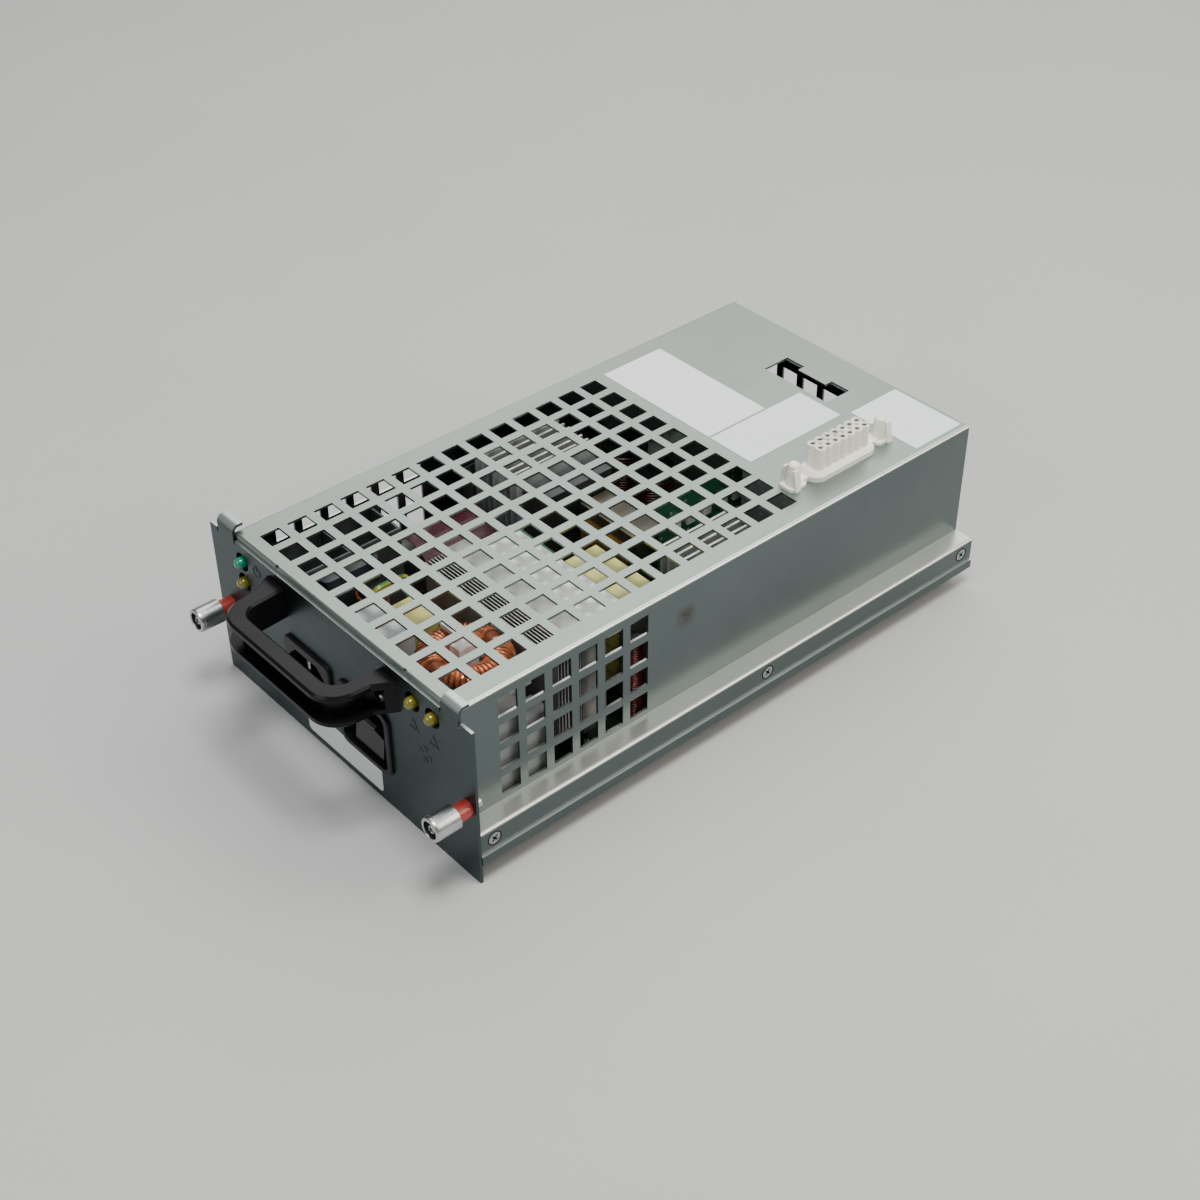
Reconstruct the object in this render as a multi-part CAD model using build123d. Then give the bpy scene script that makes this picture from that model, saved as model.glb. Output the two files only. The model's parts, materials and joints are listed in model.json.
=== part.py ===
from build123d import *
import os
from math import cos, sin, pi, radians

os.makedirs("parts", exist_ok=True)

# All sizes are millimetres. X runs along the front panel, Y from the panel's front face to the rear,
# Z up from the underside of the tray. X = 0 is the middle of the cover.

# sheet metal
SHEET = 1.0
PANEL_SHEET = 1.2
BEND = 1.5
COVER_HALF_X = 69.8
COVER_TOP_Z = 67.0
LEDGE_Z = 14.4
WALL_IN_X = COVER_HALF_X - SHEET
LEDGE_WIDTH = 9.2
SKIRT_X = COVER_HALF_X + LEDGE_WIDTH
SKIRT_BOTTOM_Z = 4.0
REAR_Y = 268.6
LIP_Z = 63.5
LIP_BEND = 0.8

# vents
PITCH = 12.4
TOP_HOLE = 8.7
TOP_COLUMNS = 10
TOP_ROWS = 14
TOP_FIRST_Y = 7.0
SIDE_HOLE = 8.8
SIDE_COLUMNS = 6
SIDE_ROWS = 4
SIDE_FIRST_Y = 18.9
SIDE_TOP_Z = 62.6
REAR_ROWS = 4

# front panel
PANEL_LEFT_X = -SKIRT_X - 6.3
PANEL_RIGHT_X = SKIRT_X + 0.5
PANEL_BOTTOM_Z = -8.6
PANEL_TOP_Z = 64.2
EAR_LEFT_X = (-COVER_HALF_X - 9.5, -COVER_HALF_X + 1.4)
EAR_RIGHT_X = (COVER_HALF_X - 7.5, COVER_HALF_X + 2.4)
EAR_BEND = 3.0
EAR_TOP_Z = 70.2
EAR_BACK_Y = 5.0
NOTCH_WIDTH = 0.9
NOTCH_DEPTH = 2.0

# rear slot of the cover
SLOT_X = (-18.5, 18.0)
SLOT_Y = (237.8, 251.7)
SLOT_TAB_X = (-8.2, 7.9)
SLOT_TAB_Y = 247.8

# tray
TRAY_X = SKIRT_X + 0.9
TRAY_WALL_X = SKIRT_X - SHEET
TRAY_WALL_TOP_Z = 13.0
TRAY_LIP_Z = 4.0
FLANGE_Y = 251.2
CASE_PLAY = 0.1
REAR_TAB_Z = 12.6

# skirt screws
SKIRT_SCREW_Y = (7.7, 145.7, 262.0)
SKIRT_SCREW_Z = 9.2
SKIRT_SCREW_HEAD_R = 2.8
SKIRT_SCREW_R = 1.5
SCREW_SINK = 1.2

# handle
HANDLE_X = -4.5
HANDLE_Z = (45.6, 60.2)
HANDLE_FOOT_X = 42.0
HANDLE_WAIST = (37.0, -8.5)
HANDLE_FRONT = (35.5, -26.6)
HANDLE_INNER_FOOT_X = 30.3
HANDLE_INNER = (29.0, -19.4)
HANDLE_OUTER_R = 12.0
HANDLE_INNER_R = 7.0
HANDLE_RIM = 0.9
GROOVE_DEPTH = 4.6
GROOVE_Z = (48.2, 57.6)
GROOVE_START_Y = -4.6
HANDLE_SCREW_X = 36.8
HANDLE_SCREW_R = 2.0
HANDLE_SCREW_Z = 53.0

# lamps
LAMP_HOLE_R = 4.1
LAMP_R = 2.5
LAMP_LEFT_X = -COVER_HALF_X + 5.8
LAMP_RIGHT_X = (HANDLE_X + HANDLE_FOOT_X + 7.7, HANDLE_X + HANDLE_FOOT_X + 19.3)
LAMP_GREEN = (LAMP_LEFT_X + 0.1, 56.1)
LAMPS_YELLOW = ((LAMP_LEFT_X, 46.4), (LAMP_RIGHT_X[0], 56.2), (LAMP_RIGHT_X[1], 56.2))
LAMP_BLOCKS = (((LAMP_LEFT_X - 4.4, LAMP_LEFT_X + 4.6), (41.0, 60.9)),
               ((LAMP_RIGHT_X[0] - 4.8, LAMP_RIGHT_X[1] + 4.8), (51.6, 60.9)))
LAMP_OUT = 3.4
RING_MARK_X = (LAMP_LEFT_X + LAMP_HOLE_R + HANDLE_X - HANDLE_FOOT_X) / 2 - 0.4
LAMP_SEAT_Y = 6.0

# power inlet
INLET_X = (-37.4, -7.4)
INLET_MIDDLE_X = (INLET_X[0] + INLET_X[1]) / 2
INLET_Z = (14.3, 38.3)
INLET_OPENING = (24.2, 16.8)
INLET_CORNER = 5.0
INLET_DEPTH = 17.0
PIN_RISE = 2.0
PIN_TAIL_Y = 25.0
INLET_FLANGE = 1.6
INLET_RIM = 1.4

# rocker switch
SWITCH_X = (-3.3, 29.4)
SWITCH_Z = (7.4, 38.3)
SWITCH_FLANGE = 1.4
SWITCH_RIM = 1.2
SWITCH_WALL = 2.4
RECESS_FLOOR_Y = 7.0
ROCKER_X = (4.2, 22.0)
ROCKER_Z = (12.6, 31.4)
ROCKER_PIVOT = (9.0, 22.0)
ROCKER_PIN_R = 1.5
ROCKER_PLAY = 0.05
ROCKER_TILT = 10.0

# captive screws
CAPTIVE = {"left": (PANEL_LEFT_X + 8.3, 28.0), "right": (PANEL_RIGHT_X - 4.9, 26.0)}
SLEEVE_R = 3.6
SLEEVE_OUT = 8.2
SHANK_R = 1.75
SHANK_PLAY = 0.05
KNOB_R = 5.0
KNOB_Y = (-17.1, -6.1)
KNOB_BORE_R = 3.9
CLIP_R = 3.1
CLIP_THICK = 0.8

# top connector
CONN = (COVER_HALF_X - 18.6, 208.6)
CONN_PITCH = 4.2
CONN_COUNT = 7
SILO_R = 2.25
SILO_TOP_Z = 80.5
CONN_FLANGE = (12.6, 36.6)
CONN_FLANGE_Z = 70.6
POST_OFFSET_Y = 25.0
POST_TOP_Z = 77.7
CAVITY_HALF = 1.1

# blank labels
LABEL = 0.15
FRONT_LABEL = ((-28.5, 20.7), (-5.4, 7.0))
TOP_LABELS = {
    "left": ((-60.8, 4.2), (182.6, 215.2)),
    "middle": ((5.2, 28.6), (182.6, 235.0)),
    "rear": ((COVER_HALF_X - 39.6, COVER_HALF_X - 3.4), (239.6, 267.0)),
}

# inner pieces, placed from what the vents show
BOARD_Z = (6.0, 7.6)
BOARD_X = WALL_IN_X - 3.8
BOARD_Y = (28.0, 258.0)
STANDOFF_X = BOARD_X - 4.0
STANDOFF_Y = (66.0, 252.0)
STUD_R = 1.5
CHOKE_BIG_R = 12.8
CHOKE_SMALL_R = 6.4
CHOKE_SIDES = 20
FILM_X = (WALL_IN_X - 11.8, WALL_IN_X - 1.8)
CHOKE = (FILM_X[0] - 3.0 - CHOKE_BIG_R - CHOKE_SMALL_R, 31.2)
RELAY_X = (CHOKE[0] - 43.8, CHOKE[0] - 22.8)
TAPED_X = (RELAY_X[0] + 2.0, RELAY_X[1] - 2.0)
FILTER_BOX_X = (-WALL_IN_X + 1.4, -WALL_IN_X + 22.8)
FILTER_BLOCK_X = (FILTER_BOX_X[1] + 0.5, FILTER_BOX_X[1] + 8.2)
BRACKET_X = -WALL_IN_X + 3.0
SIDE_COIL = (WALL_IN_X - 8.4, 91.0)
REAR_LEFT_X = (-WALL_IN_X + 6.8, -WALL_IN_X + 34.8)
REAR_LEFT_Y = (112.0, 154.0)
REAR_RIGHT_X = (WALL_IN_X - 31.8, WALL_IN_X - 6.8)
REAR_RIGHT_Y = (126.0, 162.0)
GREY_X = (REAR_LEFT_X[1] + 1.0, REAR_LEFT_X[1] + 13.0)
GREY_Y = (REAR_LEFT_Y[0] + 2.0, REAR_LEFT_Y[1] - 2.0)
GREY_TOP_Z = 53.0
CARRIER_TOP_Z = 44.6
BLOCK_LOW_Z = 38.0
BLOCK_BACK_Y = 25.6
SINK_RIGHT_X = WALL_IN_X - 4.8
SINK_FOOT_RIGHT_X = SINK_RIGHT_X - 10.0
SINK_TOP_Z = 58.0
SINK_GAP = 0.4
FIN_FIRST_Y = 51.0
FIN_COUNT = 5
FIN_PITCH = 2.5
FIN_THICK = 1.0
FLAT_SINK_DEPTH = 12.0
PLATE_DEPTH = 16.6
CAPACITORS = ((-WALL_IN_X + 16.8, 26.0, 12.6, (70.0, 106.0)), (-WALL_IN_X + 41.8, 20.4, 9.4, (66.0, 98.0)))
SINK_LEFT_X = CAPACITORS[1][0] + CAPACITORS[1][2] + 2.6
CAP_SKIN = 0.6
CAN_SIDES = 24
CORE_LEG = 4.0
CORE_YOKE = 5.0
CORE_FIT = 0.2
MIDDLE_CORE = ((16.0, SIDE_COIL[0] - 8.4), (95.0, 111.0), (BOARD_Z[1], 54.0))
REAR_CORE = ((GREY_X[1] + 3.0, 16.0), (132.0, 148.0), (BOARD_Z[1], 46.0))
EARTH_R = 1.3
EARTH_TOP_Z = 50.0
EARTH_LOOP_Y = (31.0, 47.5)
SLIM_COIL_X = (FILTER_BLOCK_X[1] + 0.8, INLET_MIDDLE_X - EARTH_R - 0.3)
SLIM_COIL_R = (SLIM_COIL_X[1] - SLIM_COIL_X[0]) / 2
WIDE_COIL_R = 11.0
WIDE_COIL_X = -WALL_IN_X + 3.8 + WIDE_COIL_R
BROWN_COILS = ((SLIM_COIL_X[0] + SLIM_COIL_R, 36.0, SLIM_COIL_R, 44.0),
               (WIDE_COIL_X, 188.0, WIDE_COIL_R, 34.0),
               (WIDE_COIL_X + 2 * WIDE_COIL_R + 1.0, 184.0, WIDE_COIL_R, 34.0))


def box(x, y, z):
    """Box between pairs of limits."""
    size = (x[1] - x[0], y[1] - y[0], z[1] - z[0])
    middle = ((x[0] + x[1]) / 2, (y[0] + y[1]) / 2, (z[0] + z[1]) / 2)
    return Pos(*middle) * Box(*size)


def rod(x, y, z, radius, axis="z"):
    """Cylinder along one axis; the pair among x, y, z gives its ends."""
    if axis == "y":
        return Pos(x, (y[0] + y[1]) / 2, z) * Rot(90, 0, 0) * Cylinder(radius, y[1] - y[0])
    if axis == "x":
        return Pos((x[0] + x[1]) / 2, y, z) * Rot(0, 90, 0) * Cylinder(radius, x[1] - x[0])
    return Pos(x, y, (z[0] + z[1]) / 2) * Cylinder(radius, z[1] - z[0])


def prism(x, y, z, radius, axis="z", sides=12):
    """Many-sided rod for small, hidden and repeated pieces; its corners lie on the radius."""
    if axis == "y":
        base, along = Plane((x, y[0], z), z_dir=(0, 1, 0)), y
    elif axis == "x":
        base, along = Plane((x[0], y, z), z_dir=(1, 0, 0)), x
    else:
        base, along = Plane((x, y, z[0])), z
    return extrude(base * RegularPolygon(radius, sides), along[1] - along[0])


def slab_y(points, y):
    """Outline in X and Z, drawn out between two Y values."""
    face = make_face(Polyline(*[(px, 0, pz) for px, pz in points], close=True))
    return Pos(0, y[0], 0) * extrude(face, amount=y[1] - y[0], dir=(0, 1, 0))


def slab_x(points, x):
    """Outline in Y and Z, drawn out between two X values."""
    face = make_face(Polyline(*[(0, py, pz) for py, pz in points], close=True))
    return Pos(x[0], 0, 0) * extrude(face, amount=x[1] - x[0], dir=(1, 0, 0))


def slab_z(points, z):
    """Outline in X and Y, drawn out between two Z values."""
    face = make_face(Polyline(*[(px, py, 0) for px, py in points], close=True))
    return Pos(0, 0, z[0]) * extrude(face, amount=z[1] - z[0], dir=(0, 0, 1))


def plate_y(x, z, y, radius):
    """Plate facing Y with four rounded corners."""
    body = box(x, y, z)
    return fillet(body.edges().filter_by(Axis.Y), radius)


def plate_z(x, y, z, radius):
    """Plate facing Z with four rounded corners."""
    body = box(x, y, z)
    return fillet(body.edges().filter_by(Axis.Z), radius)


def group(solids):
    """Several loose solids as one node."""
    return Compound(children=list(solids))


def hole_grid(count_a, count_b, size, place):
    """Square prisms for a vent field; place maps two indices to a box."""
    return [place(a, b, size) for a in range(count_a) for b in range(count_b)]


def cover_sheet():
    """Whole hat-shaped cover with its vent fields, ledges, skirts, front lip and rear slot."""
    outer = [
        (-SKIRT_X, SKIRT_BOTTOM_Z), (-SKIRT_X, LEDGE_Z), (-COVER_HALF_X, LEDGE_Z),
        (-COVER_HALF_X, COVER_TOP_Z), (COVER_HALF_X, COVER_TOP_Z), (COVER_HALF_X, LEDGE_Z),
        (SKIRT_X, LEDGE_Z), (SKIRT_X, SKIRT_BOTTOM_Z),
    ]
    skirt_in = SKIRT_X - SHEET
    wall_in = COVER_HALF_X - SHEET
    inner = [
        (skirt_in, SKIRT_BOTTOM_Z), (skirt_in, LEDGE_Z - SHEET), (wall_in, LEDGE_Z - SHEET),
        (wall_in, COVER_TOP_Z - SHEET), (-wall_in, COVER_TOP_Z - SHEET), (-wall_in, LEDGE_Z - SHEET),
        (-skirt_in, LEDGE_Z - SHEET), (-skirt_in, SKIRT_BOTTOM_Z),
    ]
    body = slab_y(outer + inner, (PANEL_SHEET, REAR_Y))
    runs = body.edges().filter_by(Axis.Y)
    outside = [e for e in runs if on_bend(e, SKIRT_X, LEDGE_Z) or on_bend(e, COVER_HALF_X, COVER_TOP_Z)]
    body = fillet(outside, BEND)
    lip = box((-COVER_HALF_X + BEND, COVER_HALF_X - BEND), (PANEL_SHEET, PANEL_SHEET + SHEET),
              (LIP_Z, COVER_TOP_Z - SHEET / 2))
    body += lip
    front_edge = [e for e in body.edges().filter_by(Axis.X)
                  if abs(e.center().Y - PANEL_SHEET) < 0.01 and abs(e.center().Z - COVER_TOP_Z) < 0.01]
    body = fillet(front_edge, LIP_BEND)
    cuts = hole_grid(TOP_COLUMNS, TOP_ROWS, TOP_HOLE, top_hole)
    cuts += hole_grid(SIDE_COLUMNS, SIDE_ROWS, SIDE_HOLE, side_hole)
    body -= cuts
    slot = box(SLOT_X, SLOT_Y, (COVER_TOP_Z - 2 * SHEET, COVER_TOP_Z + SHEET))
    slot -= box(SLOT_TAB_X, (SLOT_TAB_Y, SLOT_Y[1]), (COVER_TOP_Z - 2 * SHEET, COVER_TOP_Z + SHEET))
    body -= slot
    cx, cy = CONN
    body -= box((cx - 4.6, cx + 4.6), (cy - 15.2, cy + 15.2), (COVER_TOP_Z - 2, COVER_TOP_Z + 1))
    body -= [box((cx - 2.6, cx + 2.6), (cy + s * 28.2 - 1.0, cy + s * 28.2 + 1.0),
                 (COVER_TOP_Z - 2, COVER_TOP_Z + 1)) for s in (-1, 1)]
    body -= [box((s * 40 - 0.8, s * 40 + 0.8), (PANEL_SHEET - 1, PANEL_SHEET + 0.9),
                 (COVER_TOP_Z - 1.4, COVER_TOP_Z + 1)) for s in (-1, 1)]
    for side in (-1, 1):
        for y in SKIRT_SCREW_Y:
            body -= screw_blank(side, y, 0.05)
    return body


def cover_flats():
    """The cover cut at its bend lines into a top, a front lip, two walls and two skirts."""
    sheet = cover_sheet()
    far = SKIRT_X + 1
    y = (0, REAR_Y + 1)
    split_x = COVER_HALF_X - BEND
    wall_z = (LEDGE_Z, COVER_TOP_Z + 1)
    skirt_z = (0, LEDGE_Z)
    under_z = COVER_TOP_Z - SHEET
    return {
        "cover_top": sheet & box((-split_x, split_x), y, (under_z, COVER_TOP_Z + 1)),
        "cover_front_lip": sheet & box((-split_x, split_x), (0, PANEL_SHEET + SHEET + 1), (0, under_z)),
        "cover_left_wall": sheet & box((-far, -split_x), y, wall_z),
        "cover_right_wall": sheet & box((split_x, far), y, wall_z),
        "cover_left_skirt": sheet & box((-far, 0), y, skirt_z),
        "cover_right_skirt": sheet & box((0, far), y, skirt_z),
    }


def on_bend(edge, x, z):
    """True for an edge that runs along a bend line at this height and half width."""
    point = edge.center()
    return abs(abs(point.X) - x) < 0.01 and abs(point.Z - z) < 0.01


def top_hole(a, b, size):
    """One square of the top vent field."""
    x = (a - (TOP_COLUMNS - 1) / 2) * PITCH
    y = TOP_FIRST_Y + b * PITCH
    return box((x - size / 2, x + size / 2), (y, y + size), (COVER_TOP_Z - 2, COVER_TOP_Z + 1))


def side_hole(a, b, size):
    """One square through both side walls."""
    y = SIDE_FIRST_Y + a * PITCH
    z = SIDE_TOP_Z - b * PITCH
    right = box((COVER_HALF_X - 2, COVER_HALF_X + 1), (y, y + size), (z - size, z))
    return right + mirror(right, Plane.YZ)


def rear_hole(a, b, size):
    """One square of the rear wall's vent field."""
    x = (a - (TOP_COLUMNS - 1) / 2) * PITCH
    z = SIDE_TOP_Z - 2.0 - b * PITCH
    return box((x - size / 2, x + size / 2), (REAR_Y - 2, REAR_Y + 1), (z - size, z))


def screw_blank(side, y, play):
    """Countersunk screw body, grown by the play, standing in the skirt."""
    tip = TRAY_WALL_X - SHEET - 2.0
    shank = prism((tip - play, SKIRT_X - 1.0), y, SKIRT_SCREW_Z, SKIRT_SCREW_R + play, "x")
    face = Plane((SKIRT_X - SCREW_SINK, y, SKIRT_SCREW_Z), z_dir=(1, 0, 0))
    head = loft([face * RegularPolygon(SKIRT_SCREW_R + play, 16),
                 face.offset(SCREW_SINK) * RegularPolygon(SKIRT_SCREW_HEAD_R + play, 16)])
    whole = shank + head
    return whole if side > 0 else mirror(whole, Plane.YZ)


def skirt_screws():
    """Six countersunk cross-recess screws."""
    made = []
    for y in SKIRT_SCREW_Y:
        screw = screw_blank(1, y, 0.0)
        for turn in (45, 135):
            screw -= Pos(SKIRT_X - 0.2, y, SKIRT_SCREW_Z) * Rot(turn, 0, 0) * Box(1.2, 3.0, 0.7)
        made += [screw, mirror(screw, Plane.YZ)]
    return group(made)


def base_tray():
    """Tray with joggled side walls, a low front lip and two end tabs beside the rear wall."""
    wall_in = TRAY_WALL_X - SHEET
    half = [
        (TRAY_X, 0), (TRAY_X, SKIRT_BOTTOM_Z), (TRAY_WALL_X, SKIRT_BOTTOM_Z),
        (TRAY_WALL_X, TRAY_WALL_TOP_Z), (wall_in, TRAY_WALL_TOP_Z), (wall_in, SHEET),
    ]
    points = half + [(-x, z) for x, z in reversed(half)]
    body = slab_y(points, (PANEL_SHEET, REAR_Y))
    hidden = box((wall_in + SHEET, TRAY_X - SHEET), (PANEL_SHEET, REAR_Y), (SHEET, SKIRT_BOTTOM_Z - SHEET))
    body -= [hidden, mirror(hidden, Plane.YZ)]
    body += box((-wall_in, wall_in), (PANEL_SHEET, PANEL_SHEET + SHEET), (0, TRAY_LIP_Z))
    tab = box((rear_wall_half(), wall_in), (REAR_Y - SHEET, REAR_Y), (SHEET / 2, REAR_TAB_Z))
    body += [tab, mirror(tab, Plane.YZ)]
    for side in (-1, 1):
        for y in SKIRT_SCREW_Y:
            body -= screw_blank(side, y, 0.02)
    return body


def rear_wall_half():
    """Half the width of the rear wall, which fits between the cover's walls."""
    return COVER_HALF_X - SHEET - CASE_PLAY


def rear_wall():
    """Vented rear wall that fills the end of the case, standing on the tray."""
    half = rear_wall_half()
    wall = box((-half, half), (REAR_Y - SHEET, REAR_Y), (SHEET, COVER_TOP_Z - SHEET))
    return wall - hole_grid(TOP_COLUMNS, REAR_ROWS, TOP_HOLE, rear_hole)


def rear_flange():
    """Strip that stands forward from the rear wall, under the cover."""
    half = rear_wall_half()
    return box((-half, half), (FLANGE_Y, REAR_Y - SHEET), (COVER_TOP_Z - 2 * SHEET, COVER_TOP_Z - SHEET))


def ear(x):
    """Tab that rises from the panel and rolls back over the cover."""
    t = PANEL_SHEET
    low = PANEL_TOP_Z - NOTCH_DEPTH
    centre_z = EAR_TOP_Z - EAR_BEND
    strip = box(x, (0, t), (low, centre_z))
    ring = rod(x, EAR_BEND, centre_z, EAR_BEND, "x") - rod((x[0] - 1, x[1] + 1), EAR_BEND, centre_z,
                                                         EAR_BEND - t, "x")
    ring = ring & box(x, (0, EAR_BEND), (centre_z, EAR_TOP_Z))
    flat = box(x, (EAR_BEND, EAR_BACK_Y), (EAR_TOP_Z - t, EAR_TOP_Z))
    return strip + ring + flat


def front_panel():
    """Front plate with ears, relief notches and its cut-outs."""
    t = PANEL_SHEET
    body = box((PANEL_LEFT_X, PANEL_RIGHT_X), (0, t), (PANEL_BOTTOM_Z, PANEL_TOP_Z))
    for x in (EAR_LEFT_X, EAR_RIGHT_X):
        body -= box((x[0] - NOTCH_WIDTH, x[1] + NOTCH_WIDTH), (-1, t + 1),
                    (PANEL_TOP_Z - NOTCH_DEPTH, PANEL_TOP_Z + 1))
        body += ear(x)
    for x, z in (LAMP_GREEN,) + LAMPS_YELLOW:
        body -= rod(x, (-1, t + 1), z, LAMP_HOLE_R, "y")
    for x, z in CAPTIVE.values():
        body -= rod(x, (-1, t + 1), z, SLEEVE_R - 0.8, "y")
    body -= inlet_body()
    body -= switch_body()
    for side in (-1, 1):
        x = HANDLE_X + side * HANDLE_SCREW_X
        body -= prism(x, (-1, t + 1), HANDLE_SCREW_Z, HANDLE_SCREW_R + 0.1, "y")
    return body


def inlet_body():
    """Body of the inlet where it passes through the panel."""
    return plate_y((INLET_X[0] + INLET_RIM, INLET_X[1] - INLET_RIM),
                   (INLET_Z[0] + INLET_RIM, INLET_Z[1] - INLET_RIM), (-0.5, INLET_DEPTH + 2.5), 2.0)


def inlet_outline():
    """Six-sided mouth of the inlet: the two upper corners are cut."""
    cx, cz = inlet_centre()
    w, h = INLET_OPENING[0] / 2, INLET_OPENING[1] / 2
    low = cz + h - INLET_CORNER
    return [(cx - w, cz - h), (cx + w, cz - h), (cx + w, low), (cx + w - INLET_CORNER, cz + h),
            (cx - w + INLET_CORNER, cz + h), (cx - w, low)]


def inlet_centre():
    """Centre of the inlet on the panel."""
    return INLET_MIDDLE_X, (INLET_Z[0] + INLET_Z[1]) / 2


def inlet_housing():
    """Flanged three-pin inlet with its recess."""
    flange = plate_y(INLET_X, INLET_Z, (-INLET_FLANGE, 0), 3.0)
    flange = chamfer(flange.faces().sort_by(Axis.Y)[0].edges(), 0.5)
    body = flange + inlet_body()
    body -= slab_y(inlet_outline(), (-3, INLET_DEPTH))
    return body - pin_blades()


def pin_blades():
    """Three flat blades of the inlet, with tails behind it."""
    cx, cz = inlet_centre()
    made = []
    for dx, dz in ((-7.0, -PIN_RISE), (7.0, -PIN_RISE), (0.0, PIN_RISE)):
        blade = box((cx + dx - 1.0, cx + dx + 1.0), (3.0, PIN_TAIL_Y), (cz + dz - 2.0, cz + dz + 2.0))
        made.append(chamfer(blade.faces().sort_by(Axis.Y)[0].edges(), 0.5))
    return made


def switch_body():
    """Body of the switch where it passes through the panel."""
    return plate_y((SWITCH_X[0] + SWITCH_RIM, SWITCH_X[1] - SWITCH_RIM),
                   (SWITCH_Z[0] + SWITCH_RIM, SWITCH_Z[1] - SWITCH_RIM), (-0.5, RECESS_FLOOR_Y + 1.4), 4.0)


def switch_bezel():
    """Guard frame with a recess, a window for the rocker and the switch box behind it."""
    flange = plate_y(SWITCH_X, SWITCH_Z, (-SWITCH_FLANGE, 0), 5.0)
    flange = chamfer(flange.faces().sort_by(Axis.Y)[0].edges(), 0.4)
    body = flange + switch_body()
    box_x = (ROCKER_X[0] - 2.4, ROCKER_X[1] + 2.4)
    box_z = (ROCKER_Z[0] - 2.4, ROCKER_Z[1] + 2.4)
    body += box(box_x, (RECESS_FLOOR_Y, 24.0), box_z)
    w = SWITCH_WALL
    body -= plate_y((SWITCH_X[0] + w, SWITCH_X[1] - w), (SWITCH_Z[0] + w, SWITCH_Z[1] - w),
                    (-3, RECESS_FLOOR_Y), 3.0)
    body -= box((ROCKER_X[0] - 0.4, ROCKER_X[1] + 0.4), (RECESS_FLOOR_Y - 1, 20.0),
                (ROCKER_Z[0] - 0.9, ROCKER_Z[1] + 0.9))
    y, z = ROCKER_PIVOT
    body -= rod((ROCKER_X[0] - 1.6, ROCKER_X[1] + 1.6), y, z, ROCKER_PIN_R + ROCKER_PLAY, "x")
    return body


def switch_rocker():
    """Rocker with two flats meeting in a shallow valley, resting with its top end out."""
    y0, z0 = ROCKER_PIVOT
    half = (ROCKER_Z[1] - ROCKER_Z[0]) / 2 - 0.5
    points = [(-10.2, -half), (-7.6, 0), (-10.2, half), (-8.4, half + 0.3), (0, half - 1.2),
              (5.0, 4.0), (5.0, -4.0), (0, -half + 1.2), (-8.4, -half - 0.3)]
    a = radians(ROCKER_TILT)
    turned = [(y0 + y * cos(a) - z * sin(a), z0 + y * sin(a) + z * cos(a)) for y, z in points]
    body = slab_x(turned, ROCKER_X)
    body = fillet(body.edges().filter_by(Axis.X).sort_by(Axis.Y)[:2], 0.8)
    body += rod((ROCKER_X[0] - 1.4, ROCKER_X[1] + 1.4), y0, z0, ROCKER_PIN_R, "x")
    return body


def lamp(x, z):
    """Blunt-nosed lamp with a collar."""
    body = prism(x, (-LAMP_OUT, LAMP_SEAT_Y), z, LAMP_R, "y", 16)
    body = chamfer(body.faces().sort_by(Axis.Y)[0].edges(), LAMP_R * 0.4)
    return body + prism(x, (LAMP_SEAT_Y - 1, LAMP_SEAT_Y), z, LAMP_R + 0.4, "y", 16)


def lamp_holders():
    """Black blocks behind the panel, each bored out around its lamps."""
    made = []
    for x, z in LAMP_BLOCKS:
        block = box(x, (PANEL_SHEET, LAMP_SEAT_Y + 6), z)
        for lamp_x, lamp_z in (LAMP_GREEN,) + LAMPS_YELLOW:
            block -= prism(lamp_x, (0, LAMP_SEAT_Y), lamp_z, LAMP_HOLE_R, "y")
        made.append(block)
    return group(made)


def handle_outline(inset, waist_y):
    """Outer plan of the handle, moved inward by the inset."""
    fx = HANDLE_FOOT_X - inset
    wx, wy = HANDLE_WAIST
    ox, oy = HANDLE_FRONT
    return [(-fx, waist_y), (-wx + inset, wy), (-ox + inset, oy + inset), (ox - inset, oy + inset),
            (wx - inset, wy), (fx, waist_y)]


def handle():
    """U-shaped grab handle with an outward-facing groove."""
    outer = slab_z(handle_outline(0, 0), HANDLE_Z)
    front = [e for e in outer.edges().filter_by(Axis.Z) if e.center().Y < HANDLE_FRONT[1] + 0.01]
    outer = fillet(front, HANDLE_OUTER_R)
    ix, iy = HANDLE_INNER
    inner = slab_z([(-HANDLE_INNER_FOOT_X, 1), (-ix, iy), (ix, iy), (HANDLE_INNER_FOOT_X, 1)],
                   (HANDLE_Z[0] - 1, HANDLE_Z[1] + 1))
    back = [e for e in inner.edges().filter_by(Axis.Z) if e.center().Y < iy + 0.01]
    inner = fillet(back, HANDLE_INNER_R)
    body = outer - inner
    core = slab_z(handle_outline(GROOVE_DEPTH, 0), (GROOVE_Z[0] - 1, GROOVE_Z[1] + 1))
    tips = [e for e in core.edges().filter_by(Axis.Z) if e.center().Y < HANDLE_FRONT[1] + GROOVE_DEPTH + 0.01]
    core = fillet(tips, HANDLE_OUTER_R - GROOVE_DEPTH)
    ring = box((-60, 60), (HANDLE_FRONT[1] - 5, GROOVE_START_Y), GROOVE_Z) - core
    rims = [e for e in body.edges() if abs(e.center().Z - HANDLE_Z[1]) < 0.01
            or abs(e.center().Z - HANDLE_Z[0]) < 0.01]
    rims = [e for e in rims if e.center().Y < -0.01]
    body = chamfer(rims, HANDLE_RIM)
    body -= ring
    body = Pos(HANDLE_X, 0, 0) * body
    for side in (-1, 1):
        body -= prism(HANDLE_X + side * HANDLE_SCREW_X, (-8, 1), HANDLE_SCREW_Z, HANDLE_SCREW_R, "y")
    return body


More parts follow.
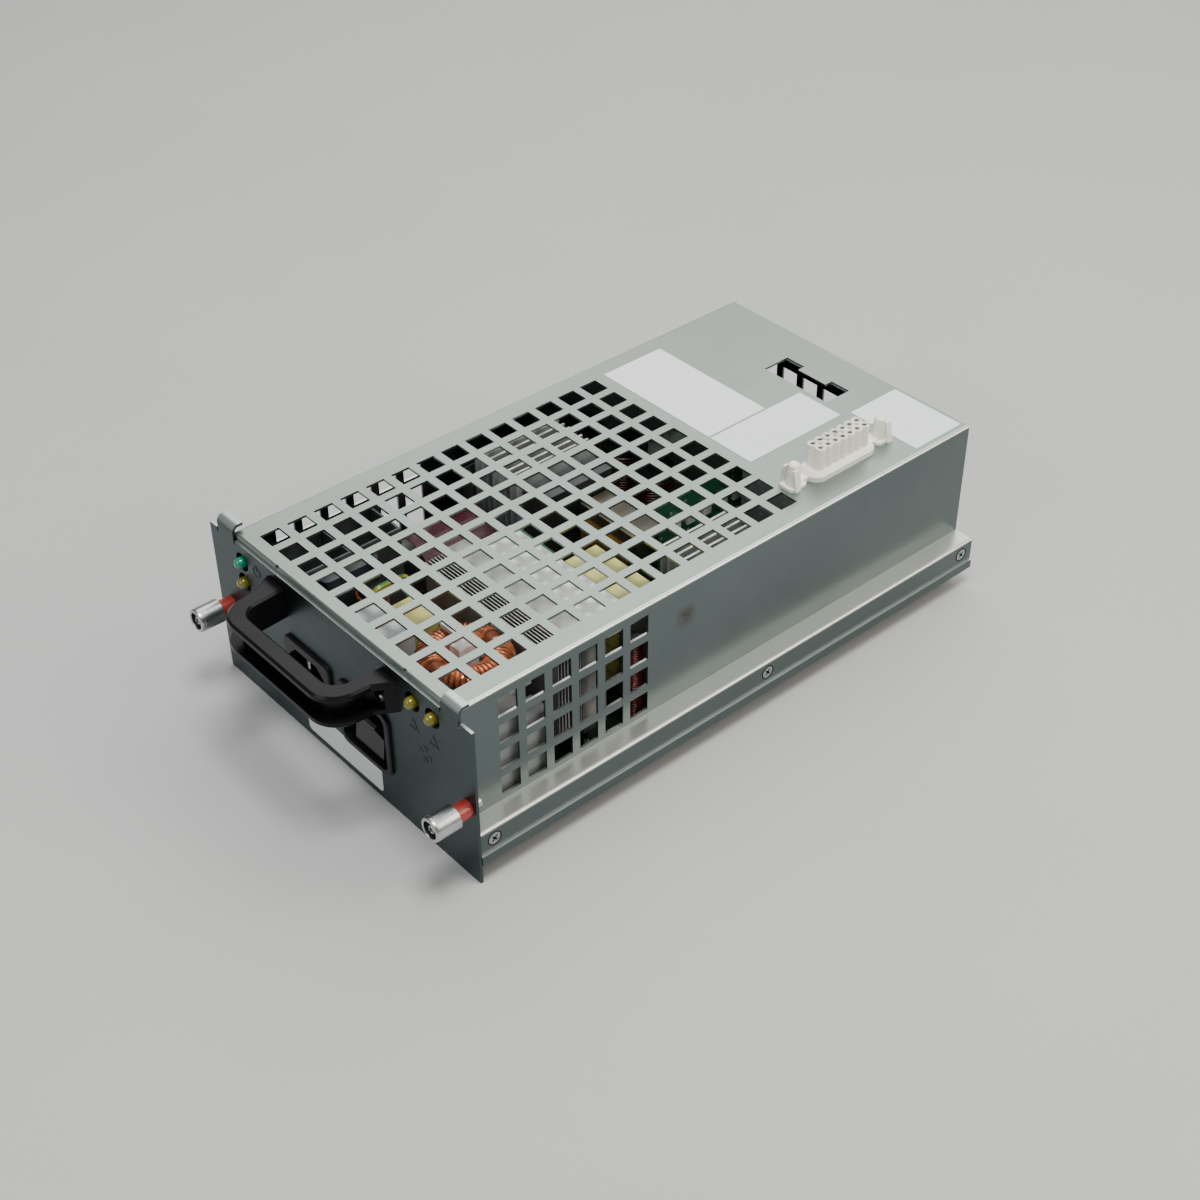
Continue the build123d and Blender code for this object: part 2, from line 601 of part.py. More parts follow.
def handle_screws():
    """Two hexagon-headed screws that hold the handle from behind the panel."""
    made = []
    for side in (-1, 1):
        x = HANDLE_X + side * HANDLE_SCREW_X
        screw = prism(x, (-5.8, PANEL_SHEET + 1), HANDLE_SCREW_Z, HANDLE_SCREW_R, "y")
        screw += prism(x, (PANEL_SHEET, PANEL_SHEET + 2.4), HANDLE_SCREW_Z, 3.6, "y", 6)
        made.append(screw)
    return group(made)


def sleeves():
    """Two red sleeves pressed into the panel."""
    made = []
    for x, z in CAPTIVE.values():
        body = rod(x, (-SLEEVE_OUT, 0), z, SLEEVE_R, "y")
        body += rod(x, (-0.5, PANEL_SHEET), z, SLEEVE_R - 0.8, "y")
        body -= rod(x, (-SLEEVE_OUT - 1, PANEL_SHEET + 1), z, SHANK_R + SHANK_PLAY, "y")
        made.append(body)
    return group(made)


def captive_knob(side):
    """Cap, shank and drive of one captive screw."""
    x, z = CAPTIVE[side]
    cap = rod(x, KNOB_Y, z, KNOB_R, "y")
    cap = chamfer(cap.faces().sort_by(Axis.Y)[0].edges(), 0.7)
    cap -= rod(x, (KNOB_Y[0] + 2.6, KNOB_Y[1] + 1), z, KNOB_BORE_R, "y")
    cap -= [Pos(x, KNOB_Y[0], z) * Rot(0, turn, 0) * Box(5.2, 1.8, 0.9) for turn in (20, 110)]
    tail = PANEL_SHEET + 4.2
    cap += rod(x, (KNOB_Y[0] + 2.0, tail), z, SHANK_R, "y")
    groove_y = (PANEL_SHEET + 0.1, PANEL_SHEET + 0.1 + CLIP_THICK + 0.1)
    neck = rod(x, groove_y, z, SHANK_R + 1, "y") - rod(x, (groove_y[0] - 1, groove_y[1] + 1), z,
                                                      SHANK_R - 0.4, "y")
    return cap - neck


def captive_clip(side):
    """Split ring in the groove of one captive screw."""
    x, z = CAPTIVE[side]
    y = (PANEL_SHEET + 0.15, PANEL_SHEET + 0.15 + CLIP_THICK)
    ring = rod(x, y, z, CLIP_R, "y") - rod(x, (y[0] - 1, y[1] + 1), z, SHANK_R - 0.4 + SHANK_PLAY, "y")
    return ring - box((x - 0.8, x + 0.8), (y[0] - 1, y[1] + 1), (z - CLIP_R - 1, z))


def connector_housing():
    """White two-row socket housing with its flange, posts and legs."""
    cx, cy = CONN
    fx, fy = CONN_FLANGE
    base = plate_z((cx - fx / 2, cx + fx / 2), (cy - fy / 2, cy + fy / 2), (COVER_TOP_Z, CONN_FLANGE_Z), 5.0)
    base = chamfer(base.faces().sort_by(Axis.Z)[-1].edges(), 1.4)
    base += box((cx - 4.4, cx + 4.4), (cy - 15.0, cy + 15.0), (COVER_TOP_Z - 9, COVER_TOP_Z + 1))
    silo = SILO_TOP_Z - CONN_FLANGE_Z + 1
    for x, y in cavities():
        base += Pos(x, y, CONN_FLANGE_Z - 1) * Rot(0, 0, 22.5) * extrude(RegularPolygon(SILO_R, 8), silo)
    for x, y in cavities():
        base -= box((x - CAVITY_HALF, x + CAVITY_HALF), (y - CAVITY_HALF, y + CAVITY_HALF),
                    (COVER_TOP_Z - 5, SILO_TOP_Z + 1))
    for side in (-1, 1):
        y = cy + side * POST_OFFSET_Y
        foot = plate_z((cx - 4.0, cx + 4.0), (y - 4.6, y + 4.6), (COVER_TOP_Z, COVER_TOP_Z + 1.2), 2.0)
        link = box((cx - 2.0, cx + 2.0), (min(y, cy + side * 17), max(y, cy + side * 17)),
                   (COVER_TOP_Z, COVER_TOP_Z + 2.0))
        post = Pos(cx, y, (COVER_TOP_Z + POST_TOP_Z) / 2) * Cone(3.4, 2.2, POST_TOP_Z - COVER_TOP_Z)
        post = chamfer(post.edges().sort_by(Axis.Z)[-1:], 0.7)
        leg = slab_y([(cx + 3.2, COVER_TOP_Z), (cx + 4.8, COVER_TOP_Z), (cx + 3.2, POST_TOP_Z - 1.6),
                      (cx + 2.4, POST_TOP_Z - 1.6)], (y + side * 1.6 - 1.4, y + side * 1.6 + 1.4))
        base += [foot, link, post, leg, mirror(leg, Plane.YZ.offset(cx))]
    return base


def cavities():
    """Centres of the connector's cavities."""
    cx, cy = CONN
    first = cy - (CONN_COUNT - 1) / 2 * CONN_PITCH
    return [(cx + s * CONN_PITCH / 2, first + k * CONN_PITCH) for s in (-1, 1) for k in range(CONN_COUNT)]


def connector_contacts():
    """One square contact in each cavity."""
    half = CAVITY_HALF - 0.4
    return group([box((x - half, x + half), (y - half, y + half), (COVER_TOP_Z - 5, SILO_TOP_Z - 4))
                  for x, y in cavities()])


def panel_marks():
    """Plain printed marks beside the lamps: a ring with a bar, two triangles and a four-blade sign."""
    y = (-LABEL, 0)
    cx, cz = RING_MARK_X, 57.0
    ring = rod(cx, y, cz, 2.6, "y") - rod(cx, (-1, 1), cz, 2.0, "y")
    ring -= box((cx - 1.0, cx + 1.0), (-1, 1), (cz, cz + 4))
    made = [ring, box((cx - 0.35, cx + 0.35), y, (cz + 0.3, cz + 3.2))]
    for x, z in ((LAMP_RIGHT_X[0] - 0.4, 45.0), (LAMP_RIGHT_X[1] - 0.2, 44.8)):
        big = triangle(x, z, 3.6, y)
        made.append(big - triangle(x, z, 2.5, (-1, 1)))
    for turn in range(4):
        blade = slab_y([(0.5, 0.9), (2.0, 3.6), (-1.2, 3.6)], y)
        made.append(Pos(LAMP_RIGHT_X[0] + 5.6, 0, 35.1) * Rot(0, 90 * turn, 0) * blade)
    return group(made)


def triangle(x, z, r, y):
    """Upright triangle about a centre."""
    return slab_y([(x + r * cos(radians(a)), z + r * sin(radians(a))) for a in (90, 210, 330)], y)


def label(x, y):
    """Blank label lying on the cover."""
    return box(x, y, (COVER_TOP_Z, COVER_TOP_Z + LABEL))


def on_board(x, y, top):
    """Box that stands on the circuit board."""
    return box(x, y, (BOARD_Z[1], top))


def standoff_places():
    """Board fixing points."""
    return [(side * STANDOFF_X, y) for side in (-1, 1) for y in STANDOFF_Y]


def main_board():
    """Circuit board with its fixing holes."""
    body = box((-BOARD_X, BOARD_X), BOARD_Y, BOARD_Z)
    return body - [prism(x, y, (BOARD_Z[0] - 1, BOARD_Z[1] + 1), STUD_R + 0.1) for x, y in standoff_places()]


def board_standoffs():
    """Pillars under the board, each with a stud and a nut over it."""
    made = []
    for x, y in standoff_places():
        pillar = prism(x, y, (SHEET, BOARD_Z[0]), 3.2, sides=6)
        nut = prism(x, y, (BOARD_Z[1], BOARD_Z[1] + 2), 3.0, sides=6)
        made.append(pillar + prism(x, y, (SHEET, BOARD_Z[1] + 3), STUD_R) + nut)
    return group(made)


def choke_winding():
    """Ring of copper wire lying on its carrier, as a many-sided ring with wide chamfers."""
    x, y = CHOKE
    z = (CARRIER_TOP_Z, CARRIER_TOP_Z + 2 * CHOKE_SMALL_R)
    ring = prism(x, y, z, CHOKE_BIG_R + CHOKE_SMALL_R, sides=CHOKE_SIDES)
    ring = chamfer(ring.edges().filter_by(Plane.XY), CHOKE_SMALL_R * 0.5)
    return ring - prism(x, y, (z[0] - 1, z[1] + 1), CHOKE_BIG_R - CHOKE_SMALL_R, sides=12)


def choke_holder():
    """White table on two legs that carries the ring choke, with a wall up through its middle."""
    x, y = CHOKE
    over = CARRIER_TOP_Z + 2 * CHOKE_SMALL_R
    table = box((x - 17, x + 17), (y - 15, y + 17), (CARRIER_TOP_Z - 3, CARRIER_TOP_Z))
    legs = [on_board((x + s * 11 - 3, x + s * 11 + 3), (y - 3, y + 14), CARRIER_TOP_Z - 2) for s in (-1, 1)]
    wall = box((x - 3, x + 3), (y - 4.2, y + 4.2), (CARRIER_TOP_Z - 1, over + 2.2))
    arm = box((x - 15, x), (y + 0.6, y + 3.6), (over + 0.2, over + 2.2))
    return table + legs + wall + arm


def filter_box():
    """Open folded box with two pockets along the left wall."""
    x, y = FILTER_BOX_X, (14.0, 62.0)
    body = on_board(x, y, 52.0)
    middle = (y[0] + y[1]) / 2
    for pocket in ((y[0] + SHEET, middle - SHEET / 2), (middle + SHEET / 2, y[1] - SHEET)):
        body -= box((x[0] + SHEET, x[1] - SHEET), pocket, (BOARD_Z[1] + SHEET, 53.0))
    return body


def side_bracket():
    """Upright bracket along the left wall behind the folded box."""
    x, y, top = BRACKET_X, (108.0, 160.0), 50.0
    return on_board((x, x + SHEET), y, top) + on_board((x, x + 5.8), (y[0], y[0] + SHEET), top)


def filter_block():
    """Film-wrapped block between the box and the coil."""
    body = on_board(FILTER_BLOCK_X, (20.0, 46.0), 50.0)
    return fillet(body.edges().filter_by(Axis.Z), 2.5)


def relay_box():
    """Moulded block with a pale face, held above the switch."""
    return box(RELAY_X, (14.0, BLOCK_BACK_Y), (BLOCK_LOW_Z, 56.0))


def taped_block():
    """Yellow taped winding behind the moulded block, on a leg of its own."""
    x, back = TAPED_X, BLOCK_BACK_Y + 12.4
    body = box(x, (BLOCK_BACK_Y, back), (BLOCK_LOW_Z, 53.0))
    return body + on_board(x, (back - 4, back), BLOCK_LOW_Z + 1)


def film_capacitor():
    """Stepped pale box by the right wall."""
    return on_board(FILM_X, (14.0, 33.0), 50.0) + on_board(FILM_X, (32.0, 44.0), 42.0)


def capacitor_sleeves():
    """Dark sleeves of the lying capacitors."""
    made = []
    for x, z, r, y in CAPACITORS:
        made.append(prism(x, y, z, r, "y", CAN_SIDES)
                    - prism(x, (y[0] - 1, y[1] + 1), z, r - CAP_SKIN, "y", CAN_SIDES))
    return group(made)


def capacitor_cans():
    """Bare cans inside the sleeves."""
    return group([prism(x, (y[0] + CAP_SKIN, y[1]), z, r - CAP_SKIN, "y", CAN_SIDES)
                  for x, z, r, y in CAPACITORS])


def capacitor_cradles():
    """Moulded cradles that carry the lying capacitors."""
    made = []
    for x, z, r, y in CAPACITORS:
        body = on_board((x - r * 0.6, x + r * 0.6), (y[0] + 4, y[1] - 4), z)
        made.append(body - prism(x, y, z, r, "y", CAN_SIDES))
    return group(made)


def sink_rows():
    """Y limits of the fin, flat and plate heatsinks, one behind the other."""
    fins = (FIN_FIRST_Y, FIN_FIRST_Y + (FIN_COUNT - 1) * FIN_PITCH + FIN_THICK)
    flat = (fins[1] + SINK_GAP, fins[1] + SINK_GAP + FLAT_SINK_DEPTH)
    plate = (flat[1] + SINK_GAP, flat[1] + SINK_GAP + PLATE_DEPTH)
    return fins, flat, plate


def fin_heatsink():
    """Dark heatsink whose thin fins run across the case."""
    y = sink_rows()[0]
    body = on_board((SINK_LEFT_X + 3, SINK_FOOT_RIGHT_X), (y[0] + 2, y[1] - 2), 20.0)
    body += box((SINK_LEFT_X, SINK_RIGHT_X), y, (18.0, 22.0))
    for k in range(FIN_COUNT):
        at = y[0] + k * FIN_PITCH
        body += box((SINK_LEFT_X, SINK_RIGHT_X), (at, at + FIN_THICK), (21.0, SINK_TOP_Z))
    return body


def flat_heatsink():
    """Grey extruded block behind the fins, with shallow grooves on top."""
    y = sink_rows()[1]
    body = box((SINK_LEFT_X - 2, SINK_RIGHT_X), y, (16.0, SINK_TOP_Z))
    body += on_board((SINK_LEFT_X + 3, SINK_FOOT_RIGHT_X), y, 17.0)
    for k in range(4):
        at = y[0] + 1.6 + k * 2.8
        body -= box((SINK_LEFT_X - 3, SINK_RIGHT_X + 1), (at, at + 0.7), (SINK_TOP_Z - 0.6, SINK_TOP_Z + 1))
    return body


def plate_heatsink():
    """Bright plate on an upright web."""
    y = sink_rows()[2]
    body = on_board((SINK_LEFT_X + 3, SINK_FOOT_RIGHT_X), (y[0], y[0] + 3), SINK_TOP_Z - 1)
    return body + box((SINK_LEFT_X + 3, SINK_RIGHT_X), y, (SINK_TOP_Z - 2, SINK_TOP_Z))


def rear_heatsink(x, y, count):
    """Finned block with fins along the case, on a foot."""
    body = box(x, y, (16.0, 20.0)) + on_board((x[0] + 4, x[1] - 4), (y[0] + 6, y[1] - 6), 17.0)
    gap = (x[1] - x[0] - FIN_THICK) / (count - 1)
    for k in range(count):
        body += box((x[0] + k * gap, x[0] + k * gap + FIN_THICK), y, (19.0, SINK_TOP_Z))
    return body


def wound_core(x, y, z):
    """Core with an open window between two side legs and two yokes."""
    window_x = (x[0] + CORE_LEG, x[1] - CORE_LEG)
    return box(x, y, z) - box(window_x, (y[0] - 1, y[1] + 1), (z[0] + CORE_YOKE, z[1] - CORE_YOKE))


def wound_bobbin(x, y, z, out):
    """Taped winding that sits in the window and stands out on both sides."""
    side = CORE_LEG + CORE_FIT
    return box((x[0] + side, x[1] - side), (y[0] - out, y[1] + out),
               (z[0] + CORE_YOKE, z[1] - CORE_YOKE - CORE_FIT))


def grey_block():
    """Flat-topped dark inductor beside the rear left heatsink."""
    return on_board(GREY_X, GREY_Y, GREY_TOP_Z)


def daughter_boards():
    """Two upright boards: one behind the plate, one along the case."""
    return group([on_board((-10.0, 14.0), (93.4, 95.0), 55.0), on_board((19.4, 21.0), (141.0, 186.0), 62.0)])


def brown_coils():
    """Upright brown coils: a slim one by the inlet and two wide ones near the rear."""
    return group([prism(x, y, (BOARD_Z[1], top), r, sides=20) for x, y, r, top in BROWN_COILS])


def side_coil():
    """Upright copper coil on a base by the right wall."""
    x, y = SIDE_COIL
    return prism(x, y, (BOARD_Z[1], 46.0), 4.2, sides=16) + prism(x, y, (BOARD_Z[1], 10.0), 5.0, sides=16)


def earth_wire():
    """Wire that rises from the inlet's upper pin, loops back and drops to the board."""
    x, pin_z = inlet_centre()
    pin_z += PIN_RISE
    rise_y, drop_y = EARTH_LOOP_Y
    path = FilletPolyline((x, PIN_TAIL_Y, pin_z), (x, rise_y, pin_z), (x, rise_y, EARTH_TOP_Z),
                          (x, drop_y, EARTH_TOP_Z), (x, drop_y, BOARD_Z[1]), radius=4.0)
    section = Plane(origin=(x, PIN_TAIL_Y, pin_z), z_dir=(0, 1, 0)) * RegularPolygon(EARTH_R, 6)
    return sweep(section, path=path)


def build_all():
    """Make every node."""
    return {
        **cover_flats(),
        "base_tray": base_tray(),
        "rear_wall": rear_wall(),
        "rear_flange": rear_flange(),
        "front_panel": front_panel(),
        "panel_marks": panel_marks(),
        "front_label": plate_y(*FRONT_LABEL, (-LABEL, 0), 2.0),
        **{"top_label_" + name: label(*place) for name, place in TOP_LABELS.items()},
        "skirt_screws": skirt_screws(),
        "handle": handle(),
        "handle_screws": handle_screws(),
        "inlet_housing": inlet_housing(),
        "inlet_pins": group(pin_blades()),
        "switch_bezel": switch_bezel(),
        "switch_rocker": switch_rocker(),
        "lamp_green": lamp(*LAMP_GREEN),
        "lamps_yellow": group([lamp(x, z) for x, z in LAMPS_YELLOW]),
        "lamp_holders": lamp_holders(),
        "screw_sleeves": sleeves(),
        "left_knob": captive_knob("left"),
        "right_knob": captive_knob("right"),
        "left_clip": captive_clip("left"),
        "right_clip": captive_clip("right"),
        "connector_housing": connector_housing(),
        "connector_contacts": connector_contacts(),
        "main_board": main_board(),
        "board_standoffs": board_standoffs(),
        "filter_box": filter_box(),
        "side_bracket": side_bracket(),
        "filter_block": filter_block(),
        "relay_box": relay_box(),
        "taped_block": taped_block(),
        "film_capacitor": film_capacitor(),
        "choke_winding": choke_winding(),
        "choke_holder": choke_holder(),
        "capacitor_sleeves": capacitor_sleeves(),
        "capacitor_cans": capacitor_cans(),
        "capacitor_cradles": capacitor_cradles(),
        "fin_heatsink": fin_heatsink(),
        "flat_heatsink": flat_heatsink(),
        "plate_heatsink": plate_heatsink(),
        "middle_transformer_core": wound_core(*MIDDLE_CORE),
        "middle_transformer_winding": wound_bobbin(*MIDDLE_CORE, 3.0),
        "rear_transformer_core": wound_core(*REAR_CORE),
        "rear_transformer_winding": wound_bobbin(*REAR_CORE, 3.6),
        "rear_left_heatsink": rear_heatsink(REAR_LEFT_X, REAR_LEFT_Y, 8),
        "rear_right_heatsink": rear_heatsink(REAR_RIGHT_X, REAR_RIGHT_Y, 7),
        "grey_block": grey_block(),
        "daughter_boards": daughter_boards(),
        "brown_coils": brown_coils(),
        "side_coil": side_coil(),
        "earth_wire": earth_wire(),
    }


for name, shape in build_all().items():
    export_step(shape, "parts/" + name + ".step")
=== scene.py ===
import json
import logging
import math
from dataclasses import dataclass
from enum import Enum
from typing import Iterable, Optional, Sequence

import bmesh
import bpy
from mathutils import Matrix, Vector

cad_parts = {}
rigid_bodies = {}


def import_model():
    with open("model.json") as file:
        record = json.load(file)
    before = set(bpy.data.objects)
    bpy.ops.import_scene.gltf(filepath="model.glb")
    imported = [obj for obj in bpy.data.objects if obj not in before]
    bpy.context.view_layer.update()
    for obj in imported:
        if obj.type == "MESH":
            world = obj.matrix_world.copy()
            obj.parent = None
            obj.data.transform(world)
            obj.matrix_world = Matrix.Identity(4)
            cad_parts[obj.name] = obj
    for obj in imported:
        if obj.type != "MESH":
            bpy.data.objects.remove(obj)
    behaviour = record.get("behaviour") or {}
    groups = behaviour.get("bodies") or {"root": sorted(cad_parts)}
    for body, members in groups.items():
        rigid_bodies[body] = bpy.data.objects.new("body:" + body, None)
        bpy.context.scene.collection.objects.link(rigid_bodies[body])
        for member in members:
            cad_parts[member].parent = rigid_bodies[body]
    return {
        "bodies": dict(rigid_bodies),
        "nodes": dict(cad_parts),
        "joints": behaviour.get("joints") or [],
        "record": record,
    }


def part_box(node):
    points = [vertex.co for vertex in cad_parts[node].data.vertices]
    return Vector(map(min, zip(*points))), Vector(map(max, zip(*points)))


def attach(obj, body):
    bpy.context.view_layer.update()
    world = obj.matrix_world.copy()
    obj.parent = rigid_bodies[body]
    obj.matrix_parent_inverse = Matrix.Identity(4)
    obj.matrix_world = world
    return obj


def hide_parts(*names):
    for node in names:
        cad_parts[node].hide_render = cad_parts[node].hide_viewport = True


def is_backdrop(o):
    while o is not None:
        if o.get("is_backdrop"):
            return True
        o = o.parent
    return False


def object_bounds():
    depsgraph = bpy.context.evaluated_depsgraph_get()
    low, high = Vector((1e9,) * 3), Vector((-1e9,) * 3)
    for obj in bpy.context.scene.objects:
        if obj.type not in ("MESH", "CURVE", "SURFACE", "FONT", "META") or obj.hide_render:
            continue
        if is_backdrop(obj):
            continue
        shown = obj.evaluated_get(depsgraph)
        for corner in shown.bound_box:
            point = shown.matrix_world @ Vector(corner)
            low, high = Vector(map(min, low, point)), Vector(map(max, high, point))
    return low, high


LOG = logging.getLogger("power_module")
MM = 0.001
SHARP_ANGLE_DEG = 32
BUMP_STRENGTH = 0.6
COAT_ROUGHNESS = 0.15
MARK_ROUGHNESS = 0.2
STAIN_RIM = 0.0062
STAIN_HEART = 0.0004
STAIN_STRENGTH = 1.5
Triple = tuple[float, float, float]
Socket = bpy.types.NodeSocket
STAIN_AT: Triple = (0.0698, 0.1088, 0.0517)


class Pattern(Enum):
    """What a finish shows besides its mottle."""

    PLAIN = "plain"
    WOUND = "wound"
    BOARD = "board"
    STAIN = "stain"


class NodeKit:
    """Adds nodes and links to one node tree."""

    def __init__(self, tree: bpy.types.NodeTree) -> None:
        """Keeps the tree.

        Args:
            tree: the material's or the group's node tree.
        """
        self.tree = tree

    def add(self, kind: str, **settings: object) -> bpy.types.Node:
        """Adds a node and sets its own properties.

        Args:
            kind: the node's type name.
            settings: properties of the node, by name.

        Returns:
            The new node.
        """
        node = self.tree.nodes.new(kind)
        for name, value in settings.items():
            setattr(node, name, value)
        return node

    def link(self, output: Socket, target: Socket) -> None:
        """Links an output to an input."""
        self.tree.links.new(output, target)

    def maths(self, operation: str, first: object, second: object) -> Socket:
        """Adds a Math node fed by sockets or numbers.

        Args:
            operation: Blender's name of the operation.
            first: a socket or a number.
            second: a socket or a number.

        Returns:
            The node's output.
        """
        node = self.add("ShaderNodeMath", operation=operation)
        for place, value in enumerate((first, second)):
            if isinstance(value, (int, float)):
                node.inputs[place].default_value = value
            else:
                self.link(value, node.inputs[place])
        return node.outputs[0]

    def spread(self, value: Socket, low: float, high: float) -> Socket:
        """Maps a mask from 0..1 to low..high.

        Args:
            value: the mask.
            low: the value at 0.
            high: the value at 1.

        Returns:
            The mapped output.
        """
        node = self.add("ShaderNodeMapRange")
        node.inputs["To Min"].default_value = low
        node.inputs["To Max"].default_value = high
        self.link(value, node.inputs["Value"])
        return node.outputs["Result"]

    def blend(self, mask: Socket, first: object, second: object) -> Socket:
        """Mixes two colours by a mask.

        Args:
            mask: 0 gives the first colour and 1 the second.
            first: a colour or a socket.
            second: a colour or a socket.

        Returns:
            The mixed colour.
        """
        node = self.add("ShaderNodeMix", data_type="RGBA")
        self.link(mask, node.inputs[0])
        for place, value in ((6, first), (7, second)):
            if isinstance(value, tuple):
                node.inputs[place].default_value = (*value, 1.0)
            else:
                self.link(value, node.inputs[place])
        return node.outputs[2]


class SharedGroups:
    """The node groups that several finishes use."""

    def __init__(self) -> None:
        """Makes each group once."""
        self.mottle = self._mottle()
        self.grain = self._grain()
        self.dust = self._dust()

    @staticmethod
    def _start(name: str, takes: Sequence[tuple[str, str, float]],
               gives: Sequence[tuple[str, str]]) -> tuple[NodeKit, bpy.types.Node, bpy.types.Node]:
        """Opens a group with its sockets.

        Args:
            name: the group's name.
            takes: name, socket type and default of each input.
            gives: name and socket type of each output.
        """
        tree = bpy.data.node_groups.new(name, "ShaderNodeTree")
        for label, kind, value in takes:
            socket = tree.interface.new_socket(label, in_out="INPUT", socket_type=kind)
            if kind == "NodeSocketFloat":
                socket.default_value = value
        for label, kind in gives:
            tree.interface.new_socket(label, in_out="OUTPUT", socket_type=kind)
        kit = NodeKit(tree)
        return kit, kit.add("NodeGroupInput"), kit.add("NodeGroupOutput")

    def _mottle(self) -> bpy.types.NodeTree:
        """Slow, cloudy change of tone."""
        kit, takes, gives = self._start(
            "cloudy_mottle",
            (("Vector", "NodeSocketVector", 0.0), ("Scale", "NodeSocketFloat", 40.0)),
            (("Mask", "NodeSocketFloat"),))
        wide = kit.add("ShaderNodeTexNoise")
        wide.inputs["Detail"].default_value = 5.0
        wide.inputs["Roughness"].default_value = 0.62
        kit.link(takes.outputs["Vector"], wide.inputs["Vector"])
        kit.link(takes.outputs["Scale"], wide.inputs["Scale"])
        shaped = kit.add("ShaderNodeMapRange")
        shaped.inputs["From Min"].default_value = 0.32
        shaped.inputs["From Max"].default_value = 0.68
        kit.link(wide.outputs["Fac"], shaped.inputs["Value"])
        kit.link(shaped.outputs["Result"], gives.inputs["Mask"])
        return kit.tree

    def _grain(self) -> bpy.types.NodeTree:
        """Fine grain, drawn out along one axis by the stretch vector."""
        kit, takes, gives = self._start(
            "drawn_grain",
            (("Vector", "NodeSocketVector", 0.0), ("Stretch", "NodeSocketVector", 0.0),
             ("Scale", "NodeSocketFloat", 900.0)),
            (("Mask", "NodeSocketFloat"),))
        drawn = kit.add("ShaderNodeVectorMath", operation="MULTIPLY")
        kit.link(takes.outputs["Vector"], drawn.inputs[0])
        kit.link(takes.outputs["Stretch"], drawn.inputs[1])
        fine = kit.add("ShaderNodeTexNoise")
        fine.inputs["Detail"].default_value = 3.0
        kit.link(drawn.outputs[0], fine.inputs["Vector"])
        kit.link(takes.outputs["Scale"], fine.inputs["Scale"])
        kit.link(fine.outputs["Fac"], gives.inputs["Mask"])
        return kit.tree

    def _dust(self) -> bpy.types.NodeTree:
        """Scattered specks and handling marks, as a mask."""
        kit, takes, gives = self._start(
            "handling_marks",
            (("Vector", "NodeSocketVector", 0.0), ("Scale", "NodeSocketFloat", 260.0),
             ("Amount", "NodeSocketFloat", 0.3)),
            (("Mask", "NodeSocketFloat"),))
        specks = kit.add("ShaderNodeTexVoronoi")
        kit.link(takes.outputs["Vector"], specks.inputs["Vector"])
        kit.link(takes.outputs["Scale"], specks.inputs["Scale"])
        near = kit.add("ShaderNodeMapRange")
        near.inputs["From Min"].default_value = 0.22
        near.inputs["From Max"].default_value = 0.05
        kit.link(specks.outputs["Distance"], near.inputs["Value"])
        patches = kit.add("ShaderNodeTexNoise")
        patches.inputs["Scale"].default_value = 34.0
        patches.inputs["Detail"].default_value = 4.0
        kit.link(takes.outputs["Vector"], patches.inputs["Vector"])
        where = kit.maths("GREATER_THAN", patches.outputs["Fac"], 0.56)
        mask = kit.maths("MULTIPLY", near.outputs["Result"], where)
        kit.link(kit.maths("MULTIPLY", mask, takes.outputs["Amount"]), gives.inputs["Mask"])
        return kit.tree


